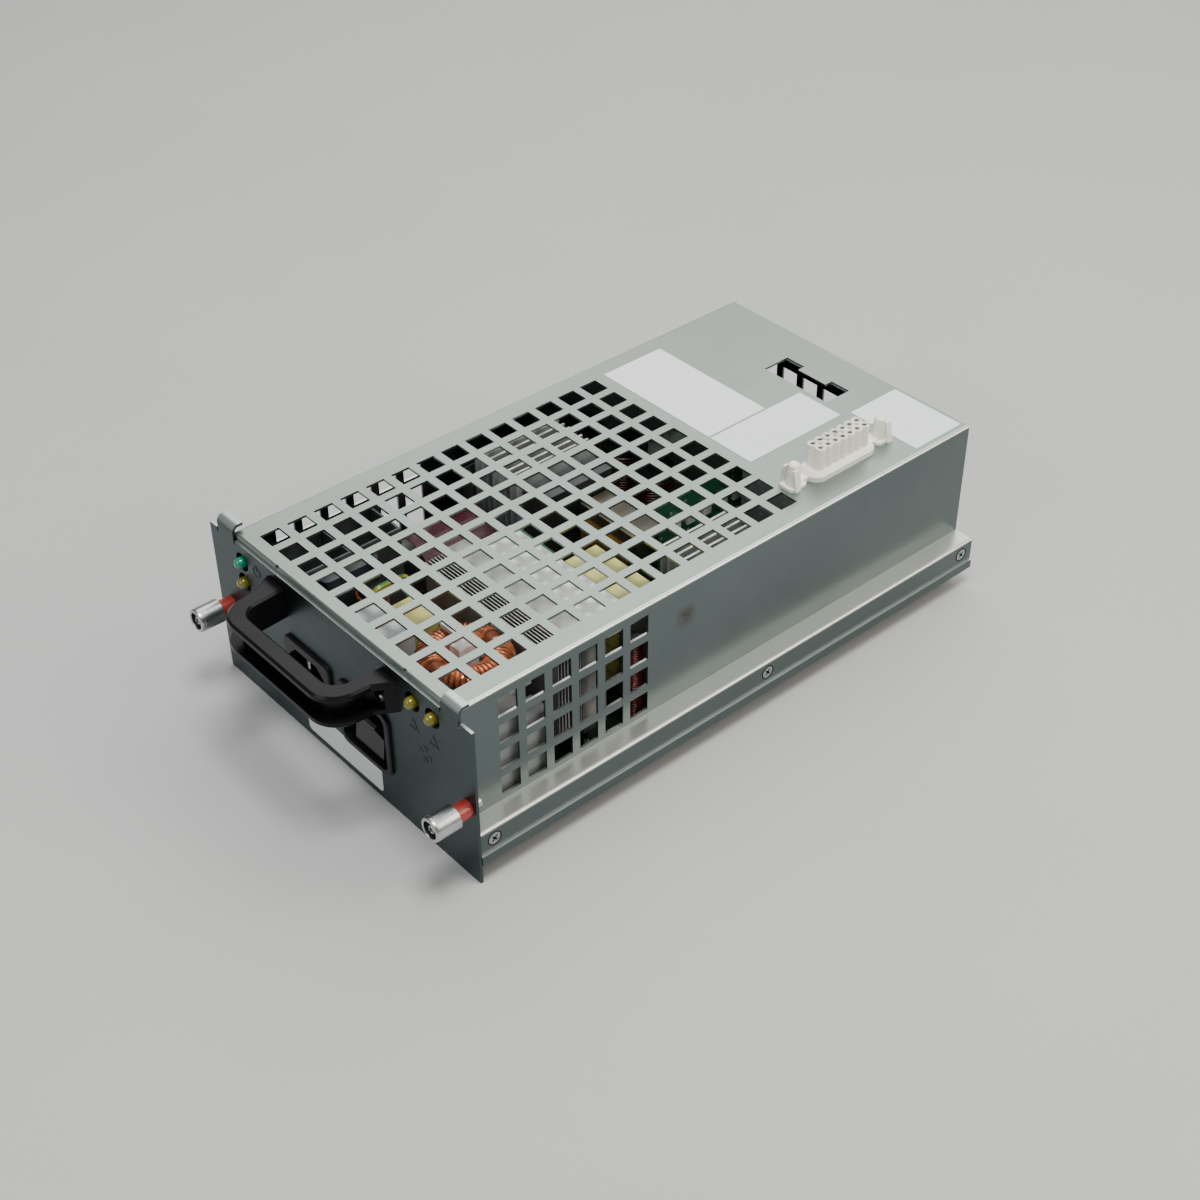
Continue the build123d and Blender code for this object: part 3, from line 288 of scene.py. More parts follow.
@dataclass(frozen=True)
class Finish:
    """One surface finish: tones, gloss and the relief that goes with them.

    Args:
        name: the material's name.
        tone: its main colour, linear.
        shade: the tone that the mottle mixes in.
        roughness: middle roughness.
        spread: how far roughness swings each way.
        metallic: metal or not.
        mottle: scale of the slow tone change, per metre.
        grain: scale of the fine grain, per metre.
        stretch: how the grain is drawn out.
        relief: depth of the bump, in metres.
        marks: share of specks and handling marks.
        mark_tone: their colour.
        coat: weight of a clear coat.
        specular: level of the plain gloss.
        painted_top_light: painted light, a lighter tone where the sheet faces up, None where it is
            all one tone.
        pattern: what else it shows.
        pattern_tone: that pattern's colour.
        pattern_scale: that pattern's scale.
    """

    name: str
    tone: Triple
    shade: Triple
    roughness: float = 0.5
    spread: float = 0.08
    metallic: float = 0.0
    mottle: float = 40.0
    grain: float = 900.0
    stretch: Triple = (1.0, 1.0, 1.0)
    relief: float = 0.00003
    marks: float = 0.15
    mark_tone: Triple = (0.55, 0.55, 0.52)
    coat: float = 0.0
    specular: float = 0.5
    painted_top_light: Optional[Triple] = None
    pattern: Pattern = Pattern.PLAIN
    pattern_tone: Triple = (0.0, 0.0, 0.0)
    pattern_scale: float = 300.0

    def build(self, groups: SharedGroups) -> bpy.types.Material:
        """Makes the material.

        Args:
            groups: the shared node groups.

        Returns:
            The finished material.
        """
        material = bpy.data.materials.new(self.name)
        material.use_nodes = True
        kit = NodeKit(material.node_tree)
        shader = material.node_tree.nodes["Principled BSDF"]
        place = kit.add("ShaderNodeTexCoord").outputs["Object"]
        mottle = self._grouped(kit, groups.mottle, place, Scale=self.mottle)
        grain = self._grouped(kit, groups.grain, place, Scale=self.grain, Stretch=self.stretch)
        marks = self._grouped(kit, groups.dust, place, Amount=self.marks)
        colour = kit.blend(mottle, self.tone, self.shade)
        # Painted light: faces that look up get the lighter top tone and upright faces keep the
        # darker one, as if lit from above.
        if self.painted_top_light is not None:
            colour = kit.blend(self._top_light_mask(kit), colour, self.painted_top_light)
        height = grain
        if self.pattern is not Pattern.PLAIN:
            mask = self._pattern_mask(kit, place)
            colour = kit.blend(mask, colour, self.pattern_tone)
            if self.pattern is Pattern.WOUND:
                height = kit.maths("SUBTRACT", 1.0, mask)
        colour = kit.blend(marks, colour, self.mark_tone)
        kit.link(colour, shader.inputs["Base Color"])
        rough = kit.spread(grain, self.roughness - self.spread, self.roughness + self.spread)
        rough = kit.maths("ADD", rough, kit.maths("MULTIPLY", marks, MARK_ROUGHNESS))
        kit.link(rough, shader.inputs["Roughness"])
        shader.inputs["Metallic"].default_value = self.metallic
        shader.inputs["Coat Weight"].default_value = self.coat
        shader.inputs["Specular IOR Level"].default_value = self.specular
        shader.inputs["Coat Roughness"].default_value = COAT_ROUGHNESS
        bump = kit.add("ShaderNodeBump")
        bump.inputs["Distance"].default_value = self.relief
        bump.inputs["Strength"].default_value = BUMP_STRENGTH
        kit.link(height, bump.inputs["Height"])
        kit.link(bump.outputs["Normal"], shader.inputs["Normal"])
        return material

    @staticmethod
    def _top_light_mask(kit: NodeKit) -> Socket:
        """Returns a mask that is 0 on upright faces and 1 on level ones, for the painted top light.
        """
        apart = kit.add("ShaderNodeSeparateXYZ")
        kit.link(kit.add("ShaderNodeTexCoord").outputs["Normal"], apart.inputs[0])
        node = kit.add("ShaderNodeMapRange", interpolation_type="SMOOTHSTEP")
        node.inputs["From Min"].default_value = 0.12
        node.inputs["From Max"].default_value = 0.75
        kit.link(apart.outputs["Z"], node.inputs["Value"])
        return node.outputs["Result"]

    @staticmethod
    def _grouped(kit: NodeKit, tree: bpy.types.NodeTree, place: Socket,
                 **values: object) -> Socket:
        """Places a shared group and returns its mask.

        Args:
            kit: the material's kit.
            tree: the group.
            place: the coordinates.
            values: the group's other inputs, by name.

        Returns:
            The group's mask.
        """
        node = kit.add("ShaderNodeGroup", node_tree=tree)
        kit.link(place, node.inputs["Vector"])
        for name, value in values.items():
            node.inputs[name].default_value = value
        return node.outputs["Mask"]

    def _pattern_mask(self, kit: NodeKit, place: Socket) -> Socket:
        """Returns the mask of this finish's pattern.

        Args:
            kit: the material's kit.
            place: the object coordinates.

        Returns:
            A mask from 0 to 1.
        """
        if self.pattern is Pattern.WOUND:
            wave = kit.add("ShaderNodeTexWave", bands_direction="Z")
            wave.inputs["Scale"].default_value = self.pattern_scale
            wave.inputs["Distortion"].default_value = 0.4
            kit.link(place, wave.inputs["Vector"])
            node = kit.add("ShaderNodeMapRange")
            node.inputs["From Min"].default_value = 0.35
            node.inputs["From Max"].default_value = 0.0
            kit.link(wave.outputs["Fac"], node.inputs["Value"])
            return node.outputs["Result"]
        if self.pattern is Pattern.BOARD:
            dots = kit.add("ShaderNodeTexVoronoi", distance="CHEBYCHEV")
            dots.inputs["Scale"].default_value = self.pattern_scale
            kit.link(place, dots.inputs["Vector"])
            return kit.maths("LESS_THAN", dots.outputs["Distance"], 0.14)
        centre = kit.add("ShaderNodeVectorMath", operation="DISTANCE")
        centre.inputs[1].default_value = STAIN_AT
        kit.link(place, centre.inputs[0])
        fade = kit.add("ShaderNodeMapRange")
        fade.inputs["From Min"].default_value = STAIN_RIM
        fade.inputs["From Max"].default_value = STAIN_HEART
        fade.inputs["To Max"].default_value = STAIN_STRENGTH
        kit.link(centre.outputs["Value"], fade.inputs["Value"])
        ragged = kit.add("ShaderNodeTexNoise")
        ragged.inputs["Scale"].default_value = 240.0
        kit.link(place, ragged.inputs["Vector"])
        return kit.maths("MULTIPLY", fade.outputs["Result"], ragged.outputs["Fac"])


DRAWN_Y: Triple = (1.0, 0.06, 1.0)
DRAWN_X: Triple = (0.06, 1.0, 1.0)
DRAWN_ROUND: Triple = (1.0, 0.1, 1.0)

# The plain values stand in the fields' own order: name, tone, shade, roughness, spread, metallic,
# mottle, grain, stretch, relief, marks and mark_tone.
FINISHES: dict[str, Finish] = {f.name: f for f in (
    Finish("zinc_cover", (0.285, 0.333, 0.304), (0.257, 0.30, 0.276), 0.38, 0.07, 1.0, 22.0, 700.0,
           DRAWN_Y, 0.00001, 0.10, (0.30, 0.33, 0.31)),
    # Painted shade: the walls, skirts, tray and panel are darker copies of the cover's zinc,
    # standing in for the shade on the upright sheets. Their painted top light brightens the ledges
    # and bends. The wall's stain is real rust.
    Finish("zinc_wall_painted_shade", (0.128, 0.158, 0.158), (0.106, 0.132, 0.133), 0.31, 0.05, 1.0, 18.0, 700.0,
           DRAWN_Y, 0.000004, 0.10, (0.24, 0.27, 0.265), painted_top_light=(0.60, 0.62, 0.59),
           pattern=Pattern.STAIN, pattern_tone=(0.06, 0.035, 0.028)),
    Finish("zinc_skirt_painted_shade", (0.108, 0.136, 0.136), (0.092, 0.117, 0.117), 0.34, 0.07, 0.85, 18.0,
           700.0, DRAWN_Y, 0.00001, 0.10, (0.30, 0.33, 0.32), painted_top_light=(0.58, 0.585, 0.54)),
    Finish("zinc_tray_painted_shade", (0.108, 0.136, 0.136), (0.092, 0.117, 0.117), 0.36, 0.08, 1.0, 26.0, 700.0,
           DRAWN_Y, 0.00001, 0.12, (0.28, 0.31, 0.30), painted_top_light=(0.62, 0.64, 0.61)),
    Finish("zinc_panel_painted_shade", (0.062, 0.084, 0.088), (0.053, 0.073, 0.077), 0.38, 0.08, 1.0, 24.0, 700.0,
           DRAWN_X, 0.00001, 0.10, (0.28, 0.31, 0.31), painted_top_light=(0.50, 0.55, 0.52)),
    Finish("screw_zinc", (0.40, 0.43, 0.425), (0.30, 0.33, 0.325), 0.26, 0.06, 1.0, 300.0, 2500.0,
           relief=0.000006),
    Finish("clip_steel", (0.30, 0.31, 0.32), (0.22, 0.23, 0.24), 0.35, 0.06, 1.0, 300.0, 2500.0,
           relief=0.000006),
    Finish("knob_metal", (0.56, 0.57, 0.57), (0.46, 0.47, 0.47), 0.30, 0.07, 1.0, 160.0, 3000.0,
           DRAWN_ROUND, 0.000004, 0.08),
    Finish("print_black", (0.02, 0.02, 0.022), (0.035, 0.035, 0.037), 0.6, mottle=200.0,
           relief=0.000004),
    Finish("sticker_white", (0.76, 0.79, 0.765), (0.72, 0.75, 0.735), 0.45, 0.06, 0.0, 30.0, 1500.0,
           relief=0.000006, marks=0.08, mark_tone=(0.45, 0.46, 0.45), coat=0.15),
    Finish("sticker_clear", (0.71, 0.765, 0.75), (0.67, 0.73, 0.72), 0.35, 0.06, 0.0, 30.0, 1500.0,
           relief=0.000006, marks=0.08, mark_tone=(0.45, 0.48, 0.50), coat=0.3),
    Finish("sticker_blue", (0.72, 0.79, 0.80), (0.78, 0.82, 0.80), 0.45, 0.06, 0.0, 120.0, 1500.0,
           relief=0.000006, marks=0.2, mark_tone=(0.45, 0.55, 0.66), coat=0.1),
    Finish("handle_plastic", (0.004, 0.004, 0.0045), (0.007, 0.007, 0.008), 0.25, 0.06, 0.0, 60.0,
           1800.0, relief=0.00001, marks=0.06, mark_tone=(0.05, 0.05, 0.05), specular=0.14),
    # Painted shade: near-black for the floors of the screw and knob recesses, standing in for the
    # shade inside them.
    Finish("recess_painted_shade", (0.004, 0.004, 0.004), (0.008, 0.008, 0.008), 0.7, relief=0.000004,
           marks=0.0, specular=0.15),
    Finish("black_moulding", (0.007, 0.007, 0.008), (0.012, 0.012, 0.013), 0.40, 0.08, 0.0, 80.0,
           1800.0, relief=0.00002, marks=0.08, mark_tone=(0.07, 0.07, 0.07), specular=0.3),
    Finish("rocker_gloss", (0.012, 0.012, 0.013), (0.02, 0.02, 0.02), 0.22, 0.05, 0.0, 80.0, 1800.0,
           relief=0.000008, coat=0.2),
    Finish("blade_plate", (0.70, 0.68, 0.62), (0.60, 0.58, 0.52), 0.22, 0.05, 1.0, 200.0, 2500.0,
           relief=0.000004),
    Finish("lens_green", (0.0, 0.20, 0.10), (0.0, 0.26, 0.13), 0.14, 0.04, 0.0, 160.0, 1200.0,
           relief=0.000006, marks=0.0, coat=0.8),
    Finish("lens_yellow", (0.125, 0.105, 0.007), (0.19, 0.16, 0.012), 0.14, 0.04, 0.0, 160.0,
           1200.0, relief=0.000006, marks=0.0, coat=0.8),
    Finish("sleeve_red", (0.28, 0.024, 0.020), (0.35, 0.038, 0.030), 0.3, 0.06, 0.0, 120.0, 1500.0,
           relief=0.00001, coat=0.3),
    Finish("socket_white", (0.94, 0.92, 0.84), (0.88, 0.86, 0.77), 0.42, 0.06, 0.0, 90.0, 1500.0,
           relief=0.000012, marks=0.10, mark_tone=(0.5, 0.48, 0.42)),
    Finish("contact_shadow", (0.06, 0.045, 0.028), (0.04, 0.03, 0.02), 0.5, relief=0.000004,
           marks=0.0, specular=0.2),
    Finish("contact_metal", (0.45, 0.38, 0.22), (0.32, 0.27, 0.17), 0.35, 0.06, 1.0, 300.0, 2500.0,
           relief=0.000004),
    Finish("board_green", (0.014, 0.13, 0.065), (0.022, 0.17, 0.085), 0.35, 0.06, 0.0, 60.0, 1200.0,
           marks=0.2, pattern=Pattern.BOARD, pattern_tone=(0.45, 0.46, 0.42), pattern_scale=260.0,
           coat=0.2),
    # Painted shade: the main board is a much darker copy of the green board, as it lies deep in the
    # case's shadow. Its pads are darkened too.
    Finish("board_painted_shade", (0.003, 0.014, 0.008), (0.005, 0.02, 0.011), 0.4, 0.06, 0.0, 60.0, 1200.0,
           marks=0.0, pattern=Pattern.BOARD, pattern_tone=(0.06, 0.062, 0.058),
           pattern_scale=260.0),
    Finish("folded_grey", (0.16, 0.165, 0.17), (0.12, 0.125, 0.13), 0.45, 0.08, 0.5, 50.0, 900.0),
    Finish("film_dark", (0.022, 0.03, 0.045), (0.04, 0.05, 0.065), 0.35, 0.08, 0.0, 70.0, 900.0,
           coat=0.2),
    Finish("pale_moulding", (0.55, 0.60, 0.60), (0.46, 0.50, 0.50), 0.5, 0.06, 0.0, 70.0, 1200.0,
           marks=0.3, mark_tone=(0.10, 0.11, 0.12)),
    Finish("wrap_grey", (0.27, 0.285, 0.28), (0.17, 0.18, 0.18), 0.5, 0.06, 0.0, 45.0, 1200.0,
           marks=0.3, mark_tone=(0.12, 0.125, 0.125)),
    Finish("yellow_tape", (0.60, 0.58, 0.17), (0.50, 0.48, 0.12), 0.35, 0.06, 0.0, 70.0, 1200.0,
           coat=0.3, pattern=Pattern.WOUND, pattern_tone=(0.40, 0.38, 0.10), pattern_scale=50.0,
           relief=0.0001),
    # The yellow on the top faces is the tape. The grey on the upright sides is painted shade.
    Finish("taped_core", (0.15, 0.15, 0.13), (0.11, 0.11, 0.10), 0.4, 0.06, 0.0, 70.0, 1200.0,
           coat=0.3, painted_top_light=(0.60, 0.58, 0.17)),
    Finish("amber_tape", (0.22, 0.12, 0.018), (0.15, 0.08, 0.014), 0.35, 0.06, 0.0, 70.0, 1200.0,
           coat=0.3, pattern=Pattern.WOUND, pattern_tone=(0.06, 0.04, 0.01), pattern_scale=50.0,
           relief=0.0001),
    # Painted top light: the core's upward faces are painted lighter than its sides.
    Finish("dusky_core", (0.035, 0.032, 0.028), (0.055, 0.048, 0.036), 0.4, 0.06, 0.0, 70.0, 1200.0,
           coat=0.3, painted_top_light=(0.10, 0.085, 0.05)),
    Finish("white_moulding", (0.78, 0.78, 0.75), (0.70, 0.70, 0.68), 0.5, 0.06, 0.0, 90.0, 1200.0),
    Finish("maroon_sleeve", (0.085, 0.022, 0.035), (0.11, 0.032, 0.045), 0.28, 0.06, 0.0, 80.0,
           1200.0, coat=0.3),
    Finish("can_metal", (0.55, 0.55, 0.54), (0.45, 0.45, 0.44), 0.3, 0.06, 1.0, 120.0, 1500.0),
    # Painted top light: the heatsinks' upward faces and fin edges are painted lighter than their
    # sides.
    Finish("fin_dark", (0.30, 0.30, 0.30), (0.24, 0.24, 0.245), 0.36, 0.08, 0.6, 60.0, 1500.0,
           DRAWN_X, painted_top_light=(0.62, 0.61, 0.59)),
    Finish("fin_grey", (0.15, 0.155, 0.15), (0.10, 0.105, 0.10), 0.36, 0.08, 0.5, 160.0, 900.0,
           DRAWN_Y, 0.00006, painted_top_light=(0.44, 0.44, 0.42)),
    Finish("fin_bright", (0.50, 0.51, 0.51), (0.40, 0.41, 0.42), 0.32, 0.07, 0.3, 60.0, 1500.0,
           DRAWN_Y, painted_top_light=(0.98, 0.98, 0.97)),
    Finish("plate_white", (0.90, 0.90, 0.89), (0.86, 0.865, 0.86), 0.30, 0.07, 0.0, 60.0, 1500.0,
           DRAWN_Y, coat=0.2),
    # Painted top light: its upward faces are painted a little lighter than its sides.
    Finish("inductor_dark", (0.05, 0.052, 0.056), (0.035, 0.037, 0.04), 0.4, 0.08, 0.3, 60.0,
           1500.0, DRAWN_X, painted_top_light=(0.085, 0.09, 0.095)),
    Finish("copper_enamel", (0.72, 0.25, 0.10), (0.56, 0.17, 0.065), 0.24, 0.06, 0.45, 160.0,
           1500.0, coat=0.5),
    Finish("brown_enamel", (0.11, 0.035, 0.02), (0.07, 0.022, 0.014), 0.3, 0.06, 0.4, 160.0, 1500.0,
           coat=0.4),
    # Painted shade: a darker copy of the copper, for the wire seen between the turns, where shade
    # falls.
    Finish("copper_under_shaded", (0.34, 0.105, 0.04), (0.24, 0.07, 0.028), 0.4, 0.06, 0.3, 160.0, 1500.0),
    Finish("red_enamel", (0.20, 0.035, 0.018), (0.12, 0.02, 0.012), 0.3, 0.06, 0.4, 160.0, 1500.0,
           coat=0.4),
    Finish("earth_cover", (0.02, 0.16, 0.04), (0.03, 0.20, 0.05), 0.35, 0.05, 0.0, 160.0, 1500.0,
           pattern=Pattern.WOUND, pattern_tone=(0.55, 0.47, 0.03), pattern_scale=32.0,
           relief=0.000004),
    Finish("studio_floor", (0.46, 0.46, 0.455), (0.445, 0.445, 0.44), 0.75, 0.05, 0.0, 6.0, 300.0,
           marks=0.0),
)}

NODE_FINISH: dict[str, str] = {
    "cover_top": "zinc_cover", "cover_front_lip": "zinc_cover", "cover_left_wall": "zinc_wall_painted_shade",
    "cover_right_wall": "zinc_wall_painted_shade", "cover_left_skirt": "zinc_skirt_painted_shade",
    "cover_right_skirt": "zinc_skirt_painted_shade", "base_tray": "zinc_tray_painted_shade", "rear_wall": "zinc_tray_painted_shade",
    "rear_flange": "zinc_tray_painted_shade", "front_panel": "zinc_panel_painted_shade", "panel_marks": "print_black",
    "front_label": "sticker_white", "top_label_left": "sticker_white",
    "top_label_middle": "sticker_clear", "top_label_rear": "sticker_blue",
    "skirt_screws": "screw_zinc", "handle": "handle_plastic", "handle_screws": "screw_zinc",
    "inlet_housing": "black_moulding", "inlet_pins": "blade_plate",
    "switch_bezel": "black_moulding", "switch_rocker": "rocker_gloss", "lamp_green": "lens_green",
    "lamps_yellow": "lens_yellow", "lamp_holders": "black_moulding", "screw_sleeves": "sleeve_red",
    "left_knob": "knob_metal", "right_knob": "knob_metal", "left_clip": "clip_steel",
    "right_clip": "clip_steel", "connector_housing": "socket_white",
    "connector_contacts": "contact_metal", "main_board": "board_painted_shade",
    "board_standoffs": "screw_zinc", "filter_box": "folded_grey", "side_bracket": "folded_grey",
    "filter_block": "film_dark", "relay_box": "pale_moulding", "taped_block": "yellow_tape",
    "film_capacitor": "wrap_grey", "choke_holder": "white_moulding",
    "capacitor_sleeves": "maroon_sleeve", "capacitor_cans": "can_metal",
    "capacitor_cradles": "black_moulding", "fin_heatsink": "fin_dark", "flat_heatsink": "fin_grey",
    "plate_heatsink": "plate_white", "middle_transformer_core": "taped_core",
    "middle_transformer_winding": "yellow_tape", "rear_transformer_core": "dusky_core",
    "rear_transformer_winding": "amber_tape", "rear_left_heatsink": "fin_bright",
    "rear_right_heatsink": "fin_bright", "grey_block": "inductor_dark",
    "daughter_boards": "board_green", "earth_wire": "earth_cover",
}


class Palette:
    """Builds each finish once and hands it out by name."""

    def __init__(self) -> None:
        """Makes the shared groups."""
        self._groups = SharedGroups()
        self._made: dict[str, bpy.types.Material] = {}

    def get(self, name: str) -> bpy.types.Material:
        """Returns the material of a finish.

        Args:
            name: a key of FINISHES.

        Returns:
            The material, built on first use.
        """
        if name not in self._made:
            self._made[name] = FINISHES[name].build(self._groups)
        return self._made[name]

    def dress(self, obj: bpy.types.Object, name: str) -> None:
        """Gives an object one finish in all its slots.

        Args:
            obj: a mesh object.
            name: a key of FINISHES.
        """
        if not obj.material_slots:
            obj.data.materials.append(None)
        for place in obj.material_slots:
            place.material = self.get(name)


class Piece:
    """One new mesh, made in millimetres and kept in metres."""

    def __init__(self, name: str) -> None:
        """Opens an empty mesh.

        Args:
            name: the object's name.
        """
        self.name = name
        self.mesh = bmesh.new()

    def ring(self, centre: Triple, axis: Triple, radius: float, wire: float, steps: int,
             sides: int = 6) -> None:
        """Adds a closed ring of round wire by spinning a circle.

        Args:
            centre: the ring's centre.
            axis: the direction that the ring lies round.
            radius: from the centre to the wire's middle.
            wire: the wire's own radius.
            steps: steps round the ring.
            sides: sides of the wire.
        """
        normal = Vector(axis).normalized()
        side = normal.orthogonal().normalized()
        start = Vector(centre) + side * radius
        frame = Matrix((side, normal, side.cross(normal))).transposed().to_4x4()
        made = bmesh.ops.create_circle(self.mesh, segments=sides, radius=wire,
                                       matrix=Matrix.Translation(start) @ frame)
        edges = {e for v in made["verts"] for e in v.link_edges}
        bmesh.ops.spin(self.mesh, geom=list(edges) + made["verts"], cent=centre, axis=normal,
                       angle=math.tau, steps=steps, use_merge=True, use_duplicate=False)

    def _bevel(self, edges: Sequence[bmesh.types.BMEdge], width: float) -> None:
        """Rounds edges in two steps.

        Args:
            edges: the edges to round.
            width: width of the bevel.
        """
        bmesh.ops.bevel(self.mesh, geom=edges, offset=width, segments=2, profile=0.5,
                        affect="EDGES", material=-1)

    def block(self, low: Triple, high: Triple, round_by: float) -> None:
        """Adds a box between two corners, with bevelled edges.

        Args:
            low: lowest corner.
            high: highest corner.
            round_by: width of the bevel.
        """
        size = [b - a for a, b in zip(low, high)]
        middle = [(a + b) / 2 for a, b in zip(low, high)]
        made = bmesh.ops.create_cube(
            self.mesh, size=1.0, matrix=Matrix.Translation(middle) @ Matrix.Diagonal((*size, 1.0)))
        self._bevel(list({e for v in made["verts"] for e in v.link_edges}), round_by)

    def bar(self, centre: Triple, size: Triple, axis: str, turn_deg: float) -> None:
        """Adds a small bar turned about one axis through its centre.

        Args:
            centre: the bar's middle.
            size: its three sides before it is turned.
            axis: X, Y or Z.
            turn_deg: the turn, degrees.
        """
        place = (Matrix.Translation(centre) @ Matrix.Rotation(math.radians(turn_deg), 4, axis)
                 @ Matrix.Diagonal((*size, 1.0)))
        bmesh.ops.create_cube(self.mesh, size=1.0, matrix=place)

    def drum(self, centre: Triple, radius: float, height: float, round_by: float,
             sides: int = 28) -> None:
        """Adds an upright round drum standing on its centre point.

        Args:
            centre: middle of its foot.
            radius: its radius.
            height: its height.
            round_by: width of the bevel at its two rims.
            sides: steps round it.
        """
        middle = Vector(centre) + Vector((0, 0, height / 2))
        made = bmesh.ops.create_cone(
            self.mesh, cap_ends=True, segments=sides, radius1=radius, radius2=radius, depth=height,
            matrix=Matrix.Translation(middle))
        rims = [e for e in {e for v in made["verts"] for e in v.link_edges}
                if abs(e.verts[0].co.z - e.verts[1].co.z) < 1e-6]
        self._bevel(rims, round_by)

    def turned(self, centre: Triple, axis: Triple, profile: Sequence[tuple[float, float]],
               steps: int = 32) -> None:
        """Adds a solid of revolution by spinning a profile that starts and ends on the axis.

        Args:
            centre: a point on the axis.
            axis: the direction of the axis.
            profile: pairs of radius and distance along the axis.
            steps: steps round the axis.
        """
        along = Vector(axis).normalized()
        side = along.orthogonal().normalized()
        points = [self.mesh.verts.new(Vector(centre) + side * radius + along * reach)
                  for radius, reach in profile]
        edges = [self.mesh.edges.new(pair) for pair in zip(points, points[1:])]
        bmesh.ops.spin(self.mesh, geom=points + edges, cent=centre, axis=along,
                       angle=math.tau, steps=steps, use_merge=True, use_duplicate=False)
        bmesh.ops.remove_doubles(self.mesh, verts=self.mesh.verts, dist=1e-4)

    def finish(self, palette: Palette, finish: str, body: str, slot: str,
               replaces: Iterable[str] = (), smooth: bool = True) -> None:
        """Turns the mesh into a piece that rides on a body.

        Args:
            palette: the finishes.
            finish: the finish's name.
            body: the body it rides on.
            slot: the record's material slot; not used.
            replaces: the nodes it stands for.
            smooth: round or flat shading.
        """
        bmesh.ops.scale(self.mesh, vec=(MM, MM, MM), verts=self.mesh.verts)
        bmesh.ops.recalc_face_normals(self.mesh, faces=self.mesh.faces)
        data = bpy.data.meshes.new(self.name)
        self.mesh.to_mesh(data)
        self.mesh.free()
        for face in data.polygons:
            face.use_smooth = smooth
        if smooth:
            data.set_sharp_from_angle(angle=math.radians(SHARP_ANGLE_DEG))
        obj = bpy.data.objects.new(self.name, data)
        bpy.context.scene.collection.objects.link(obj)
        palette.dress(obj, finish)
        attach(obj, body)
        if replaces:
            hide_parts(*replaces)
        LOG.info("%s: %d faces", self.name, len(data.polygons))


@dataclass(frozen=True)
class RingChoke:
    """The large copper ring choke: each turn of wire is a loop round the ring.

    Args:
        core_share: share of the ring's section that the core fills.
        wire: radius of the wire.
        turns: loops round the ring.
        gap_deg: bare part of the ring at each side.
    """

    core_share: float = 0.82
    wire: float = 0.88
    turns: int = 44
    gap_deg: float = 14.0

    def build(self, palette: Palette) -> None:
        """Makes the core and the turns from the CAD ring's own box."""
        low, high = (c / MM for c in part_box("choke_winding"))
        centre = (low + high) / 2
        small = (high.z - low.z) / 2
        big = (high.x - low.x) / 2 - small
        # The core is painted as shaded copper, for the inner wire seen between the turns.
        core = Piece("choke_core")
        core.ring(tuple(centre), (0, 0, 1), big, small * self.core_share, steps=36, sides=14)
        core.finish(palette, "copper_under_shaded", "chassis", "copper_wire")
        winding = Piece("choke_turns")
        span = 180.0 - 2 * self.gap_deg
        count = self.turns // 2
        for side in (0, 1):
            for k in range(count):
                angle = math.radians(180.0 * side + 90.0 + self.gap_deg + span * k / (count - 1))
                out = Vector((math.cos(angle), math.sin(angle), 0))
                winding.ring(tuple(centre + out * big), (-out.y, out.x, 0), small - self.wire,
                             self.wire, steps=18)
        winding.finish(palette, "copper_enamel", "chassis", "copper_wire", ("choke_winding",))


@dataclass(frozen=True)
class StackedCoil:
    """An upright coil built up of rings of wire on a former.

    Args:
        name: start of its pieces' names.
        node: the node it stands for.
        places: centre x, y, radius and top of each coil, in millimetres.
        wire: radius of the wire.
        finish: the wire's finish.
        slot: the record's slot.
        alone: whether it hides the node by itself.
        pitch: from one turn to the next, in wire radii.
        sunk: how deep the former lies, in wire radii.
        collar: bare former at each end.
    """

    name: str
    node: str
    places: tuple[tuple[float, float, float, float], ...]
    wire: float
    finish: str
    slot: str
    alone: bool = True
    pitch: float = 2.08
    sunk: float = 1.6
    collar: float = 1.2

    def build(self, palette: Palette) -> None:
        """Stacks rings of wire between the node's lowest and highest point."""
        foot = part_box(self.node)[0].z / MM
        former = Piece(self.name + "_former")
        turns = Piece(self.name + "_turns")
        for x, y, radius, top in self.places:
            former.drum((x, y, foot), radius - self.sunk * self.wire, top - foot, 0.4)
            step = self.pitch * self.wire
            for k in range(int((top - foot - 2 * self.collar) / step)):
                turns.ring((x, y, foot + self.collar + self.wire + k * step), (0, 0, 1),
                           radius - self.wire, self.wire, steps=28)
        former.finish(palette, "black_moulding", "chassis", "holder_black")
        turns.finish(palette, self.finish, "chassis", self.slot,
                     (self.node,) if self.alone else ())


@dataclass(frozen=True)
class RoundLamp:
    """A dome-nosed lamp with a collar at its back.

    Args:
        name: the piece's name.
        places: X and Z of each lamp, millimetres.
        node: the node it stands for.
        finish: the lens finish.
        slot: the record's slot.
        radius: radius of the dome.
        nose: Y of its tip.
        depth: length of the dome.
        back: Y of its seat.
        collar: how far the collar stands out, 1 mm deep.
    """

    name: str
    places: tuple[tuple[float, float], ...]
    node: str
    finish: str
    slot: str
    radius: float = 2.45
    nose: float = -3.4
    depth: float = 2.6
    back: float = 6.0
    collar: float = 0.4

    def build(self, palette: Palette) -> None:
        """Turns each lamp from one profile."""
        rim = self.radius + self.collar
        dome = [(self.radius * math.sin(math.radians(angle)),
                 self.nose + self.depth * (1 - math.cos(math.radians(angle))))
                for angle in range(0, 91, 15)]
        profile = dome + [(self.radius, self.back - 1), (rim, self.back - 1), (rim, self.back),
                          (0.0, self.back)]
        made = Piece(self.name)
        for x, z in self.places:
            made.turned((x, 0, z), (0, 1, 0), profile)
        made.finish(palette, self.finish, "chassis", self.slot, (self.node,))


